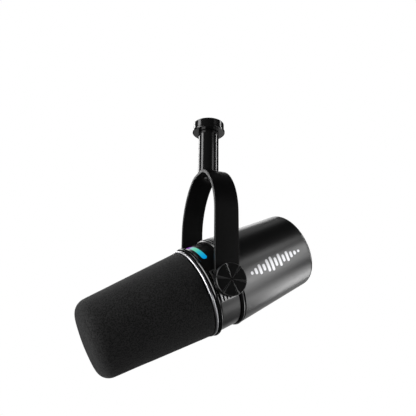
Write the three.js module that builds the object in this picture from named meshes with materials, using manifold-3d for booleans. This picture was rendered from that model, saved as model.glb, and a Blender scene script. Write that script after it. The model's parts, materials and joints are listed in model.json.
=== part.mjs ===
// Yoke-mounted end-address broadcast microphone hanging from a stand collar.
//
// Units are millimetres, +Z is up. The origin is the centre of the stand collar's top face, on the
// stem's axis. The microphone points towards -Y and is pitched down by PITCH about the tilt axis,
// which runs along X through (0, 0, -PIVOT_DROP).
//
// Pieces of the microphone body are drawn in the body frame: x across, y towards the body's top,
// z along the barrel's axis towards the windscreen, with the origin on the tilt axis.

import * as THREE from "three";
import { mergeVertices } from "three/addons/utils/BufferGeometryUtils.js";
import Module from "manifold-3d";

// ---------------------------------------------------------------- driving dimensions
const PITCH = 26.0; // degrees, nose down at rest
const PIVOT_DROP = 128.3; // collar top face to tilt axis

// stand collar and stem
const COLLAR_R = 12.0;
const COLLAR_FLANGE_R = 12.7;
const COLLAR_H = 7.8;
const SOCKET_R = 7.94; // 5/8 in - 27 major radius
const STEM_R = 7.9;

// yoke
const YOKE_OUTER = 36.2; // half width over the arms
const YOKE_T = 3.0;
const YOKE_B = 17.0; // strap width
const YOKE_STRAIGHT = 46.8; // height of the straight arms over the tilt axis
const YOKE_TOP = 86.0; // top face over the tilt axis
const YOKE_ARCH = 87.2; // crown of the arch curve before the flat is cut
const YOKE_POWER = 1.9; // superellipse exponent of the arch

// knobs
const KNOB_R = 10.5;
const KNOB_FACE = 43.0; // half width over the knobs

// barrel stations along the axis, from the tilt axis
const FOAM_REAR = 13.1;
const FOAM_FRONT = 90.2;
const FOAM_R_REAR = 30.8;
const FOAM_R_FRONT = 25.9;
const FOAM_CORNER = 9.0;
const FOAM_WALL = 6.0;
const LIP_FRONT = 12.6;
const LIP_REAR = 10.7;
const RIDGE_REAR = 7.2;
const WAIST_R = 30.6;
const BAR_CENTRE = 2.7;
const BAR_WIDTH = 3.4;
const BAR_HALF_ANGLE = 52.5;
const PAD_HALF_LENGTH = 6.6;
const PAD_HALF_ANGLE = 20.1;
const PAD_SHIFT = 1.6; // the pads reach a little further down than up, in degrees
const PAD_T = 1.3;
const BEAD_FRONT = -7.8;
const BEAD_REAR = -10.3;
const BEAD_R = 32.2;
const REAR_R_FRONT = 31.8;
const REAR_R_REAR = 28.4;
const REAR_END = -75.4;
const REAR_CORNER = 3.6;
const REAR_WALL = 2.0;

const GAP = 0.3; // gap kept between touching pieces

// ---------------------------------------------------------------- materials
const finish = (color, roughness, metalness, extra = {}) =>
  new THREE.MeshStandardMaterial({ color, roughness, metalness, ...extra });
const FINISH = {
  foam: () => finish(0x0c0c0d, 0.97, 0.0),
  satin: () => finish(0x141415, 0.38, 0.35),
  matte: () => finish(0x17171a, 0.55, 0.3),
  gloss: () => finish(0x08080a, 0.14, 0.5),
  polished: () => finish(0x8c8c90, 0.18, 1.0),
  plastic: () => finish(0x0d0d0e, 0.5, 0.0),
  rubber: () => finish(0x1b1b1c, 0.85, 0.0),
  steel: () => finish(0xa9abad, 0.3, 1.0),
  brass: () => finish(0xb39150, 0.32, 1.0),
  contact: () => finish(0xc9a24a, 0.25, 1.0),
  board: () => finish(0x0f3b26, 0.6, 0.0),
  chip: () => finish(0x101012, 0.5, 0.0),
  copper: () => finish(0xb0693a, 0.35, 1.0),
  film: () => finish(0xcfc6a8, 0.3, 0.0),
  magnet: () => finish(0x7d7f82, 0.35, 1.0),
  light: () => finish(0x46c8de, 0.4, 0.0, { emissive: 0x2aa8d0, emissiveIntensity: 0.8 }),
  wire: () => finish(0x7a1512, 0.6, 0.0),
};

// ---------------------------------------------------------------- helpers
const wasm = await Module();
wasm.setup();
const rad = (d) => (d * Math.PI) / 180;

// The geometry as a manifold-3d solid.
function solid(geometry) {
  let g = geometry.index ? geometry.toNonIndexed() : geometry.clone();
  g.deleteAttribute("normal");
  g.deleteAttribute("uv");
  g = mergeVertices(g, 1e-4);
  return new wasm.Manifold(
    new wasm.Mesh({
      numProp: 3,
      vertProperties: new Float32Array(g.attributes.position.array),
      triVerts: new Uint32Array(g.index.array),
    }),
  );
}

// A solid back to a geometry with flat faces.
function geometryOf(s) {
  const m = s.getMesh();
  const p = new Float32Array(m.numVert * 3);
  for (let i = 0; i < m.numVert; i++)
    p.set(m.vertProperties.subarray(i * m.numProp, i * m.numProp + 3), i * 3);
  const g = new THREE.BufferGeometry();
  g.setAttribute("position", new THREE.BufferAttribute(p, 3));
  g.setIndex(new THREE.BufferAttribute(new Uint32Array(m.triVerts), 1));
  const flat = g.toNonIndexed();
  flat.computeVertexNormals();
  return flat;
}

const cut = (a, ...tools) => geometryOf(tools.reduce((s, t) => s.subtract(solid(t)), solid(a)));
const join = (...parts) => geometryOf(parts.map(solid).reduce((a, b) => a.add(b)));

// A ring or body of revolution about z. Points are [radius, z] and go round the section once.
// The section is closed on itself when it doesn't touch the axis.
function revolve(points, segments = 24) {
  const pts = points.map(([r, z]) => new THREE.Vector2(r, z));
  const onAxis = points[0][0] === 0 && points[points.length - 1][0] === 0;
  if (!onAxis) pts.push(pts[0].clone());
  let area = 0;
  const loop = onAxis ? [...pts, pts[0]] : pts;
  for (let i = 0; i + 1 < loop.length; i++) area += loop[i].x * loop[i + 1].y - loop[i + 1].x * loop[i].y;
  if (area < 0) pts.reverse();
  const g = new THREE.LatheGeometry(pts, segments);
  g.rotateX(Math.PI / 2); // lathe axis y -> z
  return g;
}

function disc(r, z0, z1, segments = 20) {
  return revolve([[0, z0], [r, z0], [r, z1], [0, z1]], segments);
}
function ring(r0, r1, z0, z1, segments = 20) {
  return revolve([[r0, z0], [r1, z0], [r1, z1], [r0, z1]], segments);
}

// A body of revolution about x.
const aboutX = (g) => g.rotateY(Math.PI / 2);

// A curved plate on a cylinder about z: angle 0 is +y (the body's top), positive towards +x.
function cylinderPlate(r0, r1, z0, z1, a0, a1, steps) {
  const shape = new THREE.Shape();
  const at = (r, a) => [r * Math.sin(rad(a)), r * Math.cos(rad(a))];
  for (let i = 0; i <= steps; i++) {
    const [x, y] = at(r1, a0 + ((a1 - a0) * i) / steps);
    i ? shape.lineTo(x, y) : shape.moveTo(x, y);
  }
  for (let i = steps; i >= 0; i--) shape.lineTo(...at(r0, a0 + ((a1 - a0) * i) / steps));
  shape.closePath();
  return new THREE.ExtrudeGeometry(shape, { depth: z1 - z0, bevelEnabled: false, curveSegments: 1 }).translate(0, 0, z0);
}

// A plate that lies on a cylinder about z with rounded (pill) ends.
function cylinderPill(r0, r1, zc, width, halfAngle, steps) {
  const h = width / 2;
  const endAngle = (h / ((r0 + r1) / 2)) * (180 / Math.PI);
  const inner = halfAngle - endAngle;
  let s = solid(cylinderPlate(r0, r1, zc - h, zc + h, -inner, inner, steps));
  for (const k of [1, -1]) {
    const a = rad(k * inner);
    const peg = new THREE.CylinderGeometry(h, h, r1 + 4 - (r0 - 4), 12)
      .translate(0, (r0 + r1) / 2, 0)
      .rotateZ(-a)
      .translate(0, 0, zc);
    s = s.add(solid(peg).intersect(solid(ring(r0, r1, zc - h - 1, zc + h + 1, 60))));
  }
  return geometryOf(s);
}

const box = (x0, x1, y0, y1, z0, z1) =>
  new THREE.BoxGeometry(x1 - x0, y1 - y0, z1 - z0).translate((x0 + x1) / 2, (y0 + y1) / 2, (z0 + z1) / 2);

const microphone = new THREE.Group();
const standFrame = new THREE.Group(); // row frame
const pivotFrame = new THREE.Group(); // upright, origin on the tilt axis
pivotFrame.position.set(0, 0, -PIVOT_DROP);
const bodyFrame = new THREE.Group(); // barrel frame
bodyFrame.rotation.x = rad(90 + PITCH);
pivotFrame.add(bodyFrame);
microphone.add(standFrame, pivotFrame);

function put(group, name, geometry, material) {
  const mesh = new THREE.Mesh(geometry, material);
  mesh.name = name;
  group.add(mesh);
  return mesh;
}

// ================================================================ stand collar and stem
const LIP_T = 1.3; // collar floor that carries the stem's head
put(standFrame, "stand_collar", revolve([
  [SOCKET_R + 1.7, 0], [COLLAR_R - 0.5, 0], [COLLAR_R, -0.5], [COLLAR_R, -COLLAR_H + 1.9],
  [COLLAR_FLANGE_R, -COLLAR_H + 1.3], [COLLAR_FLANGE_R, -COLLAR_H + 0.5], [COLLAR_FLANGE_R - 0.5, -COLLAR_H],
  [STEM_R - 0.7, -COLLAR_H], [STEM_R - 0.7, -COLLAR_H + LIP_T], [SOCKET_R + 1.7, -COLLAR_H + LIP_T],
], 24), FINISH.gloss());
put(standFrame, "thread_insert", ring(SOCKET_R, SOCKET_R + 1.4, -4.9, -0.1, 24), FINISH.steel());

const STEM_TOP = -COLLAR_H - GAP; // shoulder under the collar
const STEM_FOOT = -PIVOT_DROP + YOKE_TOP + GAP;
put(standFrame, "mount_stem", revolve([
  [0, STEM_FOOT], [STEM_R, STEM_FOOT], [STEM_R, STEM_TOP - 0.4], [STEM_R - 0.4, STEM_TOP],
  [STEM_R - 1.0, STEM_TOP], [STEM_R - 1.0, -COLLAR_H + LIP_T + GAP], [SOCKET_R + 1.3, -COLLAR_H + LIP_T + GAP],
  [SOCKET_R + 1.3, -5.2], [0, -5.2],
], 24), FINISH.gloss());

// ================================================================ yoke
{
  const arch = (w, crown, top) => {
    const pts = [];
    const n = 14;
    for (let i = 0; i <= n; i++) {
      const t = (Math.PI / 2) * (i / n);
      const x = w * Math.pow(Math.cos(t), 2 / YOKE_POWER);
      const z = YOKE_STRAIGHT + (crown - YOKE_STRAIGHT) * Math.pow(Math.sin(t), 2 / YOKE_POWER);
      pts.push([i === n ? 0 : x, Math.min(z, top)]);
    }
    return pts;
  };
  const outer = arch(YOKE_OUTER, YOKE_ARCH, YOKE_TOP);
  const inner = arch(YOKE_OUTER - YOKE_T, YOKE_ARCH - YOKE_T, YOKE_TOP - YOKE_T);
  const foot = -YOKE_B / 2 - 1;
  const shape = new THREE.Shape();
  shape.moveTo(YOKE_OUTER, foot);
  outer.forEach(([x, z]) => shape.lineTo(x, z));
  [...outer].reverse().slice(1).forEach(([x, z]) => shape.lineTo(-x, z));
  shape.lineTo(-YOKE_OUTER, foot);
  shape.lineTo(-YOKE_OUTER + YOKE_T, foot);
  inner.forEach(([x, z]) => shape.lineTo(-x, z));
  [...inner].reverse().slice(1).forEach(([x, z]) => shape.lineTo(x, z));
  shape.lineTo(YOKE_OUTER - YOKE_T, foot);
  shape.closePath();
  const strap = new THREE.ExtrudeGeometry(shape, { depth: YOKE_B, bevelEnabled: false, curveSegments: 1 })
    .rotateX(Math.PI / 2)
    .translate(0, YOKE_B / 2, 0);
  // rounded eyes: the strap keeps only what lies inside a slot-shaped outline seen from the side
  const side = new THREE.Shape();
  side.moveTo(-YOKE_B / 2, 0);
  for (let i = 0; i <= 12; i++) {
    const t = Math.PI + (Math.PI * i) / 12;
    side.lineTo((YOKE_B / 2) * Math.cos(t), (YOKE_B / 2) * Math.sin(t));
  }
  side.lineTo(YOKE_B / 2, 100);
  side.lineTo(-YOKE_B / 2, 100);
  side.closePath();
  const keep = new THREE.ExtrudeGeometry(side, { depth: 100, bevelEnabled: false, curveSegments: 1 })
    .rotateX(Math.PI / 2)
    .rotateZ(Math.PI / 2)
    .translate(-50, 0, 0);
  let s = solid(strap).intersect(solid(keep));
  s = s.subtract(solid(aboutX(disc(4.4, -60, 60, 24))));
  s = s.subtract(solid(disc(2.3, YOKE_TOP - YOKE_T - 2, YOKE_TOP + 2, 16)));
  put(pivotFrame, "yoke_bracket", geometryOf(s), FINISH.matte());
}
// countersunk-look pan screw under the arch, threaded into the stem's foot would overlap it, so the
// shank ends at the strap's top face
put(pivotFrame, "yoke_screw", revolve([
  [0, YOKE_TOP - YOKE_T - 1.9], [2.6, YOKE_TOP - YOKE_T - 1.9], [3.4, YOKE_TOP - YOKE_T - 1.2],
  [3.4, YOKE_TOP - YOKE_T - GAP], [2.0, YOKE_TOP - YOKE_T - GAP], [2.0, YOKE_TOP], [0, YOKE_TOP],
], 20), FINISH.steel());

for (const [side, k] of [["right", 1], ["left", -1]]) {
  const turn = (g) => (k > 0 ? aboutX(g) : g.rotateY(-Math.PI / 2));
  const inFace = YOKE_OUTER - YOKE_T;
  // bushing: sleeve in the yoke's eye with a thin flange on the outside
  put(pivotFrame, "yoke_bushing_" + side,
    turn(ring(3.2, 4.1, inFace + 0.1, YOKE_OUTER - 0.1, 16)), FINISH.plastic());
  put(bodyFrame, "inner_washer_" + side,
    turn(ring(3.4, 7.4, WAIST_R + PAD_T + GAP, inFace - GAP, 16)), FINISH.plastic());
  put(bodyFrame, "outer_washer_" + side,
    turn(ring(3.2, 7.6, YOKE_OUTER + GAP, YOKE_OUTER + 1.1, 16)), FINISH.steel());
  put(bodyFrame, "pivot_stud_" + side,
    turn(disc(2.9, 26.0, KNOB_FACE - 2.6, 16)), FINISH.steel());
  put(bodyFrame, "knob_insert_" + side,
    turn(ring(3.2, 4.6, YOKE_OUTER + 1.5, KNOB_FACE - 2.6, 16)), FINISH.brass());

  // knob: disc with six radial V grooves in its face that run out through the rim
  const knobBack = YOKE_OUTER + 1.4;
  const knobOutline = [
    [0, KNOB_FACE - 2.2], [4.9, KNOB_FACE - 2.2], [4.9, knobBack], [KNOB_R - 0.6, knobBack],
    [KNOB_R, knobBack + 0.6], [KNOB_R, KNOB_FACE - 0.8], [KNOB_R - 0.8, KNOB_FACE], [0, KNOB_FACE],
  ];
  let knob = solid(revolve(knobOutline, 24));
  for (let i = 0; i < 6; i++) {
    // a wedge, deepest and widest at the rim
    const g = new THREE.BufferGeometry();
    const r0 = 1.2, r1 = KNOB_R + 1.5, w0 = 0.15, w1 = 1.35, d0 = 0.15, d1 = 1.9, up = 0.6;
    const z = KNOB_FACE;
    const v = [
      [r0, 0, z - d0], [r0, w0, z + up], [r0, -w0, z + up],
      [r1, 0, z - d1], [r1, w1, z + up], [r1, -w1, z + up],
    ];
    const f = [0, 1, 2, 3, 5, 4, 0, 3, 4, 0, 4, 1, 1, 4, 5, 1, 5, 2, 2, 5, 3, 2, 3, 0];
    g.setAttribute("position", new THREE.BufferAttribute(new Float32Array(v.flat()), 3));
    g.setIndex(f);
    g.rotateZ(rad(60 * i + 29));
    let w = solid(g);
    if (w.volume() < 0) {
      g.setIndex(f.map((_, j) => f[3 * Math.floor(j / 3) + [0, 2, 1][j % 3]]));
      w = solid(g);
    }
    knob = knob.subtract(w);
  }
  put(bodyFrame, "knob_" + side, turn(geometryOf(knob)), FINISH.plastic());
}

// ================================================================ front: windscreen, basket, rings
{
  const outer = [[FOAM_R_REAR, FOAM_REAR]];
  const c = FOAM_CORNER;
  const slope = (FOAM_R_REAR - FOAM_R_FRONT) / (FOAM_FRONT - c - FOAM_REAR);
  outer.push([FOAM_R_FRONT + slope * 0.5, FOAM_FRONT - c]);
  for (let i = 1; i <= 6; i++) {
    const t = (Math.PI / 2) * (i / 6);
    outer.push([FOAM_R_FRONT - c + c * Math.cos(t), FOAM_FRONT - 1.2 - c + c * Math.sin(t)]);
  }
  outer.push([0, FOAM_FRONT]);
  const inner = [[0, FOAM_FRONT - 7.6]];
  const ci = 5;
  const ri = FOAM_R_FRONT - FOAM_WALL;
  for (let i = 0; i <= 3; i++) {
    const t = (Math.PI / 2) * (1 - i / 3);
    inner.push([ri - ci + ci * Math.cos(t), FOAM_FRONT - 7.9 - ci + ci * Math.sin(t)]);
  }
  inner.push([FOAM_R_REAR - FOAM_WALL, FOAM_REAR]);
  put(bodyFrame, "foam_windscreen", revolve([...inner, ...outer], 24), FINISH.foam());

  // mesh basket under the foam, 1 mm wall, open at the rear
  const b = GAP;
  const t = 1.0;
  const rr = FOAM_R_REAR - FOAM_WALL - b, rf = ri - b;
  const zf = FOAM_FRONT - 7.9 - b;
  const dome = (r, z, n) => {
    const pts = [];
    for (let i = 0; i <= n; i++) {
      const a = (Math.PI / 2) * (1 - i / n);
      pts.push([Math.max(r - ci + ci * Math.cos(a), 0), z - ci + ci * Math.sin(a)]);
    }
    return pts;
  };
  put(bodyFrame, "grille_basket", revolve([
    [0, zf], ...dome(rf, zf, 3), [rr, LIP_FRONT + 0.7], [rr - t, LIP_FRONT + 0.7],
    ...dome(rf - t, zf - t, 3).reverse(), [0, zf - t],
  ], 24), FINISH.steel());
}
put(bodyFrame, "pop_filter", disc(17.6, 66.5, 72.5, 28), FINISH.foam());
put(bodyFrame, "front_trim_ring", revolve([
  [24.6, LIP_REAR], [30.9, LIP_REAR], [31.4, LIP_REAR + 0.5], [31.4, LIP_FRONT - 0.5], [30.9, LIP_FRONT], [24.6, LIP_FRONT],
], 24), FINISH.polished());
put(bodyFrame, "front_bezel", revolve([
  [24.6, RIDGE_REAR + GAP], [31.0, RIDGE_REAR + GAP], [32.0, RIDGE_REAR + 0.9], [32.3, RIDGE_REAR + 1.5],
  [32.0, RIDGE_REAR + 2.3], [31.3, RIDGE_REAR + 2.7], [30.3, RIDGE_REAR + 2.8], [30.3, LIP_REAR - GAP], [24.6, LIP_REAR - GAP],
], 24), FINISH.gloss());

// ================================================================ waist, light bar, side pads
{
  const barrel = ring(28.4, WAIST_R, -RIDGE_REAR, RIDGE_REAR, 36);
  const slot = cylinderPill(27.0, 33.0, BAR_CENTRE, BAR_WIDTH + 2 * GAP, BAR_HALF_ANGLE + 0.6, 14);
  const studHole = aboutX(disc(3.2, -40, 40, 20));
  const s = solid(barrel).subtract(solid(slot)).subtract(solid(studHole));
  put(bodyFrame, "waist_barrel", geometryOf(s), FINISH.satin());
}
put(bodyFrame, "light_bar", cylinderPill(28.9, WAIST_R + 0.25, BAR_CENTRE, BAR_WIDTH, BAR_HALF_ANGLE, 14), FINISH.light());
put(bodyFrame, "led_board", cylinderPlate(26.9, 28.0, BAR_CENTRE - 4, BAR_CENTRE + 4, -50, 50, 14), FINISH.board());
for (const [side, k] of [["right", 1], ["left", -1]]) {
  const a0 = k * (90 + PAD_SHIFT) - PAD_HALF_ANGLE, a1 = k * (90 + PAD_SHIFT) + PAD_HALF_ANGLE;
  let s = solid(cylinderPlate(WAIST_R + GAP, WAIST_R + PAD_T, -PAD_HALF_LENGTH, PAD_HALF_LENGTH, a0, a1, 6));
  for (let i = 0; i < 5; i++) {
    const z = -4.8 + i * 2.4;
    s = s.subtract(solid(cylinderPlate(WAIST_R - 1, 34.0, z - 0.55, z + 0.55, a0 + 2.2, a1 - 2.2, 6)));
  }
  s = s.subtract(solid(aboutX(disc(3.2, -40, 40, 20))));
  put(bodyFrame, "side_pad_" + side, geometryOf(s), FINISH.plastic());
}

// ================================================================ rear: ring, housing, plate, connectors
put(bodyFrame, "rear_ring", revolve([
  [26.0, BEAD_FRONT + 0.2], [31.3, BEAD_FRONT + 0.2], [32.0, BEAD_FRONT - 0.6], [BEAD_R, BEAD_FRONT - 1.2],
  [32.0, BEAD_REAR + 0.6], [31.3, BEAD_REAR], [26.0, BEAD_REAR],
], 24), FINISH.gloss());
{
  const z0 = BEAD_REAR - GAP;
  const c = REAR_CORNER;
  const outer = [[REAR_R_FRONT, z0], [REAR_R_REAR, REAR_END + c]];
  for (let i = 1; i <= 4; i++) {
    const t = (Math.PI / 2) * (i / 4);
    outer.push([REAR_R_REAR - c + c * Math.cos(t), REAR_END + c - c * Math.sin(t)]);
  }
  put(bodyFrame, "rear_housing", revolve([
    ...outer, [23.0, REAR_END], [23.0, REAR_END + 2.0], [REAR_R_REAR - REAR_WALL - 0.4, REAR_END + 5.0],
    [REAR_R_FRONT - REAR_WALL, z0],
  ], 24), FINISH.satin());
}
{
  // connector plate, recessed in the rear opening
  const plateZ0 = REAR_END + 0.9, plateZ1 = REAR_END + 3.1;
  let s = solid(disc(22.7, plateZ0, plateZ1, 24));
  s = s.subtract(solid(disc(10.4, plateZ0 - 5, plateZ1 + 5, 20).translate(0, -8, 0)));
  s = s.subtract(solid(box(-4.9, 4.9, 10.6, 14.4, plateZ0 - 5, plateZ1 + 5)));
  s = s.subtract(solid(disc(3.6, plateZ0 - 5, plateZ1 + 5, 14).translate(13.0, 9.0, 0)));
  for (const [x, y] of [[-14.5, 8.5], [17.5, -6.5], [-17.5, -6.5]])
    s = s.subtract(solid(disc(1.7, plateZ0 - 5, plateZ1 + 5, 12).translate(x, y, 0)));
  put(bodyFrame, "rear_plate", geometryOf(s), FINISH.matte());
  [[-14.5, 8.5], [17.5, -6.5], [-17.5, -6.5]].forEach(([x, y], i) => {
    put(bodyFrame, "rear_screw_" + (i + 1), revolve([
      [0, plateZ0 - 0.8], [2.4, plateZ0 - 0.8], [2.4, plateZ0 - 0.3], [1.4, plateZ0 - 0.3], [1.4, plateZ1 + 4], [0, plateZ1 + 4],
    ], 12).translate(x, y, 0), FINISH.steel());
  });
  // XLR connector: shell with a round well that opens to the rear
  put(bodyFrame, "xlr_shell", ring(8.7, 10.1, plateZ0 - 0.3, plateZ0 + 15, 32).translate(0, -8, 0), FINISH.steel());
  let ins = solid(disc(8.4, plateZ0 + 10.2, plateZ0 + 14.5, 20).translate(0, -8, 0));
  const pins = [[-3.35, -6.8], [3.35, -6.8], [0, -11.7]];
  for (const [x, y] of pins) ins = ins.subtract(solid(disc(1.5, plateZ0 + 5, plateZ0 + 20, 10).translate(x, y, 0)));
  put(bodyFrame, "xlr_insulator", geometryOf(ins), FINISH.plastic());
  pins.forEach(([x, y], i) =>
    put(bodyFrame, "xlr_pin_" + (i + 1), revolve([
      [0, plateZ0 + 1.0], [0.7, plateZ0 + 1.0], [1.15, plateZ0 + 1.6], [1.15, plateZ0 + 16], [0, plateZ0 + 16],
    ], 10).translate(x, y, 0), FINISH.contact()));
  // USB-C receptacle: obround shell with a slot
  const obround = (w, h, z0, z1) => {
    const sh = new THREE.Shape();
    const r = h / 2, a = w / 2 - r;
    sh.absarc(a, 0, r, -Math.PI / 2, Math.PI / 2, false);
    sh.absarc(-a, 0, r, Math.PI / 2, (3 * Math.PI) / 2, false);
    return new THREE.ExtrudeGeometry(sh, { depth: z1 - z0, bevelEnabled: false, curveSegments: 5 }).translate(0, 12.5, z0);
  };
  put(bodyFrame, "usb_c_port", cut(obround(8.94, 3.26, plateZ0 + 0.3, plateZ0 + 7.6), obround(8.3, 2.6, plateZ0 - 1, plateZ0 + 6.6)), FINISH.steel());
  put(bodyFrame, "headphone_jack", revolve([
    [1.8, plateZ0 - 0.2], [3.3, plateZ0 - 0.2], [3.3, plateZ0 + 12], [0, plateZ0 + 12], [0, plateZ0 + 11], [1.8, plateZ0 + 11],
  ], 14).translate(13.0, 9.0, 0), FINISH.plastic());
}
put(bodyFrame, "main_board", box(-20, 20, 3.2, 4.8, -62, -16), FINISH.board());
put(bodyFrame, "audio_chip", box(-5, 5, 5.1, 6.3, -40, -30), FINISH.chip());

// ================================================================ capsule and its suspension
put(bodyFrame, "capsule_carrier", revolve([
  [13.0, 15.0], [13.0, 36.0], [14.6, 36.0], [14.6, 16.6], [24.2, 8.0 + 0], [24.2, 4.6], [21.0, 4.6], [19.5, 7.0],
], 24), FINISH.plastic());
put(bodyFrame, "shock_mount_rear", revolve([[11.4, 27.0], [12.7, 27.0], [12.7, 31.0], [11.4, 31.0]], 20), FINISH.rubber());
put(bodyFrame, "shock_mount_front", revolve([[14.9, 31.0], [17.4, 31.0], [17.4, 35.0], [14.9, 35.0]], 20), FINISH.rubber());
put(bodyFrame, "capsule_housing", revolve([
  [0, 24.0], [9.6, 24.0], [11.1, 25.5], [11.1, 37.5], [16.0, 42.0], [16.0, 57.0], [14.6, 57.0], [14.6, 42.8], [9.6, 38.4], [9.6, 26.0], [0, 26.0],
], 24), FINISH.satin());
put(bodyFrame, "capsule_magnet", disc(7.5, 40.5, 48.0, 20), FINISH.magnet());
put(bodyFrame, "capsule_pole_plate", ring(9.0, 14.2, 46.0, 49.0, 20), FINISH.steel());
put(bodyFrame, "capsule_voice_coil", ring(7.9, 8.6, 46.5, 51.0, 20), FINISH.copper());
put(bodyFrame, "capsule_diaphragm", revolve([
  [0, 54.6], [4.5, 53.8], [7.9, 51.7], [10.5, 52.8], [14.2, 51.9], [14.2, 51.5], [10.5, 52.3], [7.9, 51.3], [4.5, 53.3], [0, 54.1],
], 20), FINISH.film());
{
  let s = solid(disc(15.8, 57.3, 58.5, 24));
  for (let i = 0; i < 6; i++) {
    const a = rad(60 * i);
    s = s.subtract(solid(disc(2.2, 55, 60, 10).translate(9 * Math.cos(a), 9 * Math.sin(a), 0)));
  }
  s = s.subtract(solid(disc(2.6, 55, 60, 10)));
  put(bodyFrame, "capsule_grid", geometryOf(s), FINISH.steel());
}
// lead from the capsule's rear to the board's front edge
{
  const path = new THREE.CatmullRomCurve3([
    new THREE.Vector3(0, 0, 23.6), new THREE.Vector3(0, 0, 18), new THREE.Vector3(1.5, -1.5, 8),
    new THREE.Vector3(-1.5, -0.5, -2), new THREE.Vector3(0, 3.2, -10), new THREE.Vector3(0, 4.0, -15.6),
  ]);
  const section = new THREE.Shape();
  for (let i = 0; i < 6; i++) {
    const a = (i / 6) * 2 * Math.PI;
    i ? section.lineTo(0.7 * Math.cos(a), 0.7 * Math.sin(a)) : section.moveTo(0.7, 0);
  }
  section.closePath();
  put(bodyFrame, "capsule_lead", new THREE.ExtrudeGeometry(section, { steps: 14, bevelEnabled: false, extrudePath: path, curveSegments: 1 }), FINISH.wire());
}

export default microphone;
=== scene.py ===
import json
import math

import bmesh
import bpy
import numpy as np
from mathutils import Matrix, Vector, noise


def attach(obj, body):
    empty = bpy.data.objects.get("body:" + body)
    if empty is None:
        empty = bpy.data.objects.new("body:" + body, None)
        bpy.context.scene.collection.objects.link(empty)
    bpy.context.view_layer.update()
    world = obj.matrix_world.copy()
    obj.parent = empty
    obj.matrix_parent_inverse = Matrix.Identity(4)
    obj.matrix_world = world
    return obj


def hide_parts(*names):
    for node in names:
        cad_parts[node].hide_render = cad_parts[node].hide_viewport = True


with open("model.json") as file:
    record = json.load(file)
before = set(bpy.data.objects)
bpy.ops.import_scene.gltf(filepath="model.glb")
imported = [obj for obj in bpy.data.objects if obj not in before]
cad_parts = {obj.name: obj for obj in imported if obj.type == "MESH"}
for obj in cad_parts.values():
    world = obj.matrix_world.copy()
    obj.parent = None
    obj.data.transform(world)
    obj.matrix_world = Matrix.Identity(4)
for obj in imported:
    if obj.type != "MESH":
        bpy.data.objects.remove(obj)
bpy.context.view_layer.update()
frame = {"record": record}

SCENE = bpy.context.scene

# ------------------------------------------------------------------ frames (millimetres -> metres)
PITCH = math.radians(26.0)
DROP = 128.3
SN, CS = math.sin(PITCH), math.cos(PITCH)
AX_X = np.array([1.0, 0.0, 0.0])
AX_T = np.array([0.0, -SN, CS])     # the barrel's top
AX_D = np.array([0.0, -CS, -SN])    # the barrel's axis, towards the windscreen
ROT_BODY = np.stack([AX_X, AX_T, AX_D], axis=1)


def to_row(p):
    return np.asarray(p, float) * 0.001


def to_pivot(p):
    return (np.asarray(p, float) + np.array([0, 0, -DROP])) * 0.001


def to_body(p):
    return (np.asarray(p, float) @ ROT_BODY.T + np.array([0, 0, -DROP])) * 0.001


# ------------------------------------------------------------------ mesh helpers
def new_object(name, verts, faces, smooth=True, sharp=32.0):
    me = bpy.data.meshes.new(name)
    me.from_pydata([tuple(v) for v in verts], [], [tuple(int(i) for i in f) for f in faces])
    bm = bmesh.new()
    bm.from_mesh(me)
    bmesh.ops.remove_doubles(bm, verts=bm.verts, dist=1e-7)
    bmesh.ops.dissolve_degenerate(bm, edges=bm.edges, dist=1e-8)
    bmesh.ops.recalc_face_normals(bm, faces=bm.faces)
    bm.to_mesh(me)
    bm.free()
    ob = bpy.data.objects.new(name, me)
    SCENE.collection.objects.link(ob)
    finish_shading(ob, smooth, sharp)
    return ob


def finish_shading(ob, smooth=True, sharp=32.0):
    me = ob.data
    me.shade_smooth() if smooth else me.shade_flat()
    if smooth and sharp is not None:
        me.set_sharp_from_angle(angle=math.radians(sharp))


def weighted(ob):
    m = ob.modifiers.new("weighted", "WEIGHTED_NORMAL")
    m.keep_sharp = True
    m.weight = 60
    return ob


def apply_modifiers(ob):
    dg = bpy.context.evaluated_depsgraph_get()
    dg.update()
    me = bpy.data.meshes.new_from_object(ob.evaluated_get(dg), preserve_all_data_layers=True, depsgraph=dg)
    old = ob.data
    ob.modifiers.clear()
    ob.data = me
    bpy.data.meshes.remove(old)
    return ob


def fillet(points, closed, default=0.0, steps=4):
    """Points are (r, z) or (r, z, radius). Corners with a radius become arcs."""
    n = len(points)
    out = []
    for i, p in enumerate(points):
        rad = p[2] if len(p) > 2 else default
        if (not closed and i in (0, n - 1)) or rad <= 0:
            out.append((p[0], p[1]))
            continue
        a = np.array(points[(i - 1) % n][:2], float)
        b = np.array(p[:2], float)
        c = np.array(points[(i + 1) % n][:2], float)
        u, v = a - b, c - b
        lu, lv = np.linalg.norm(u), np.linalg.norm(v)
        if lu < 1e-9 or lv < 1e-9:
            out.append((p[0], p[1]))
            continue
        u, v = u / lu, v / lv
        cosang = float(np.clip(u @ v, -1, 1))
        half = math.acos(cosang) / 2
        if half > math.pi / 2 - 0.02:
            out.append((p[0], p[1]))
            continue
        t = rad / math.tan(half)
        lim = 0.48 * min(lu, lv)
        if t > lim:
            t = lim
            rad = t * math.tan(half)
        centre = b + (u + v) / np.linalg.norm(u + v) * (rad / math.sin(half))
        s, e = b + u * t, b + v * t
        a0 = math.atan2(s[1] - centre[1], s[0] - centre[0])
        a1 = math.atan2(e[1] - centre[1], e[0] - centre[0])
        d = (a1 - a0 + math.pi) % (2 * math.pi) - math.pi
        for k in range(steps + 1):
            w = a0 + d * k / steps
            out.append((centre[0] + rad * math.cos(w), centre[1] + rad * math.sin(w)))
    return out


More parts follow.
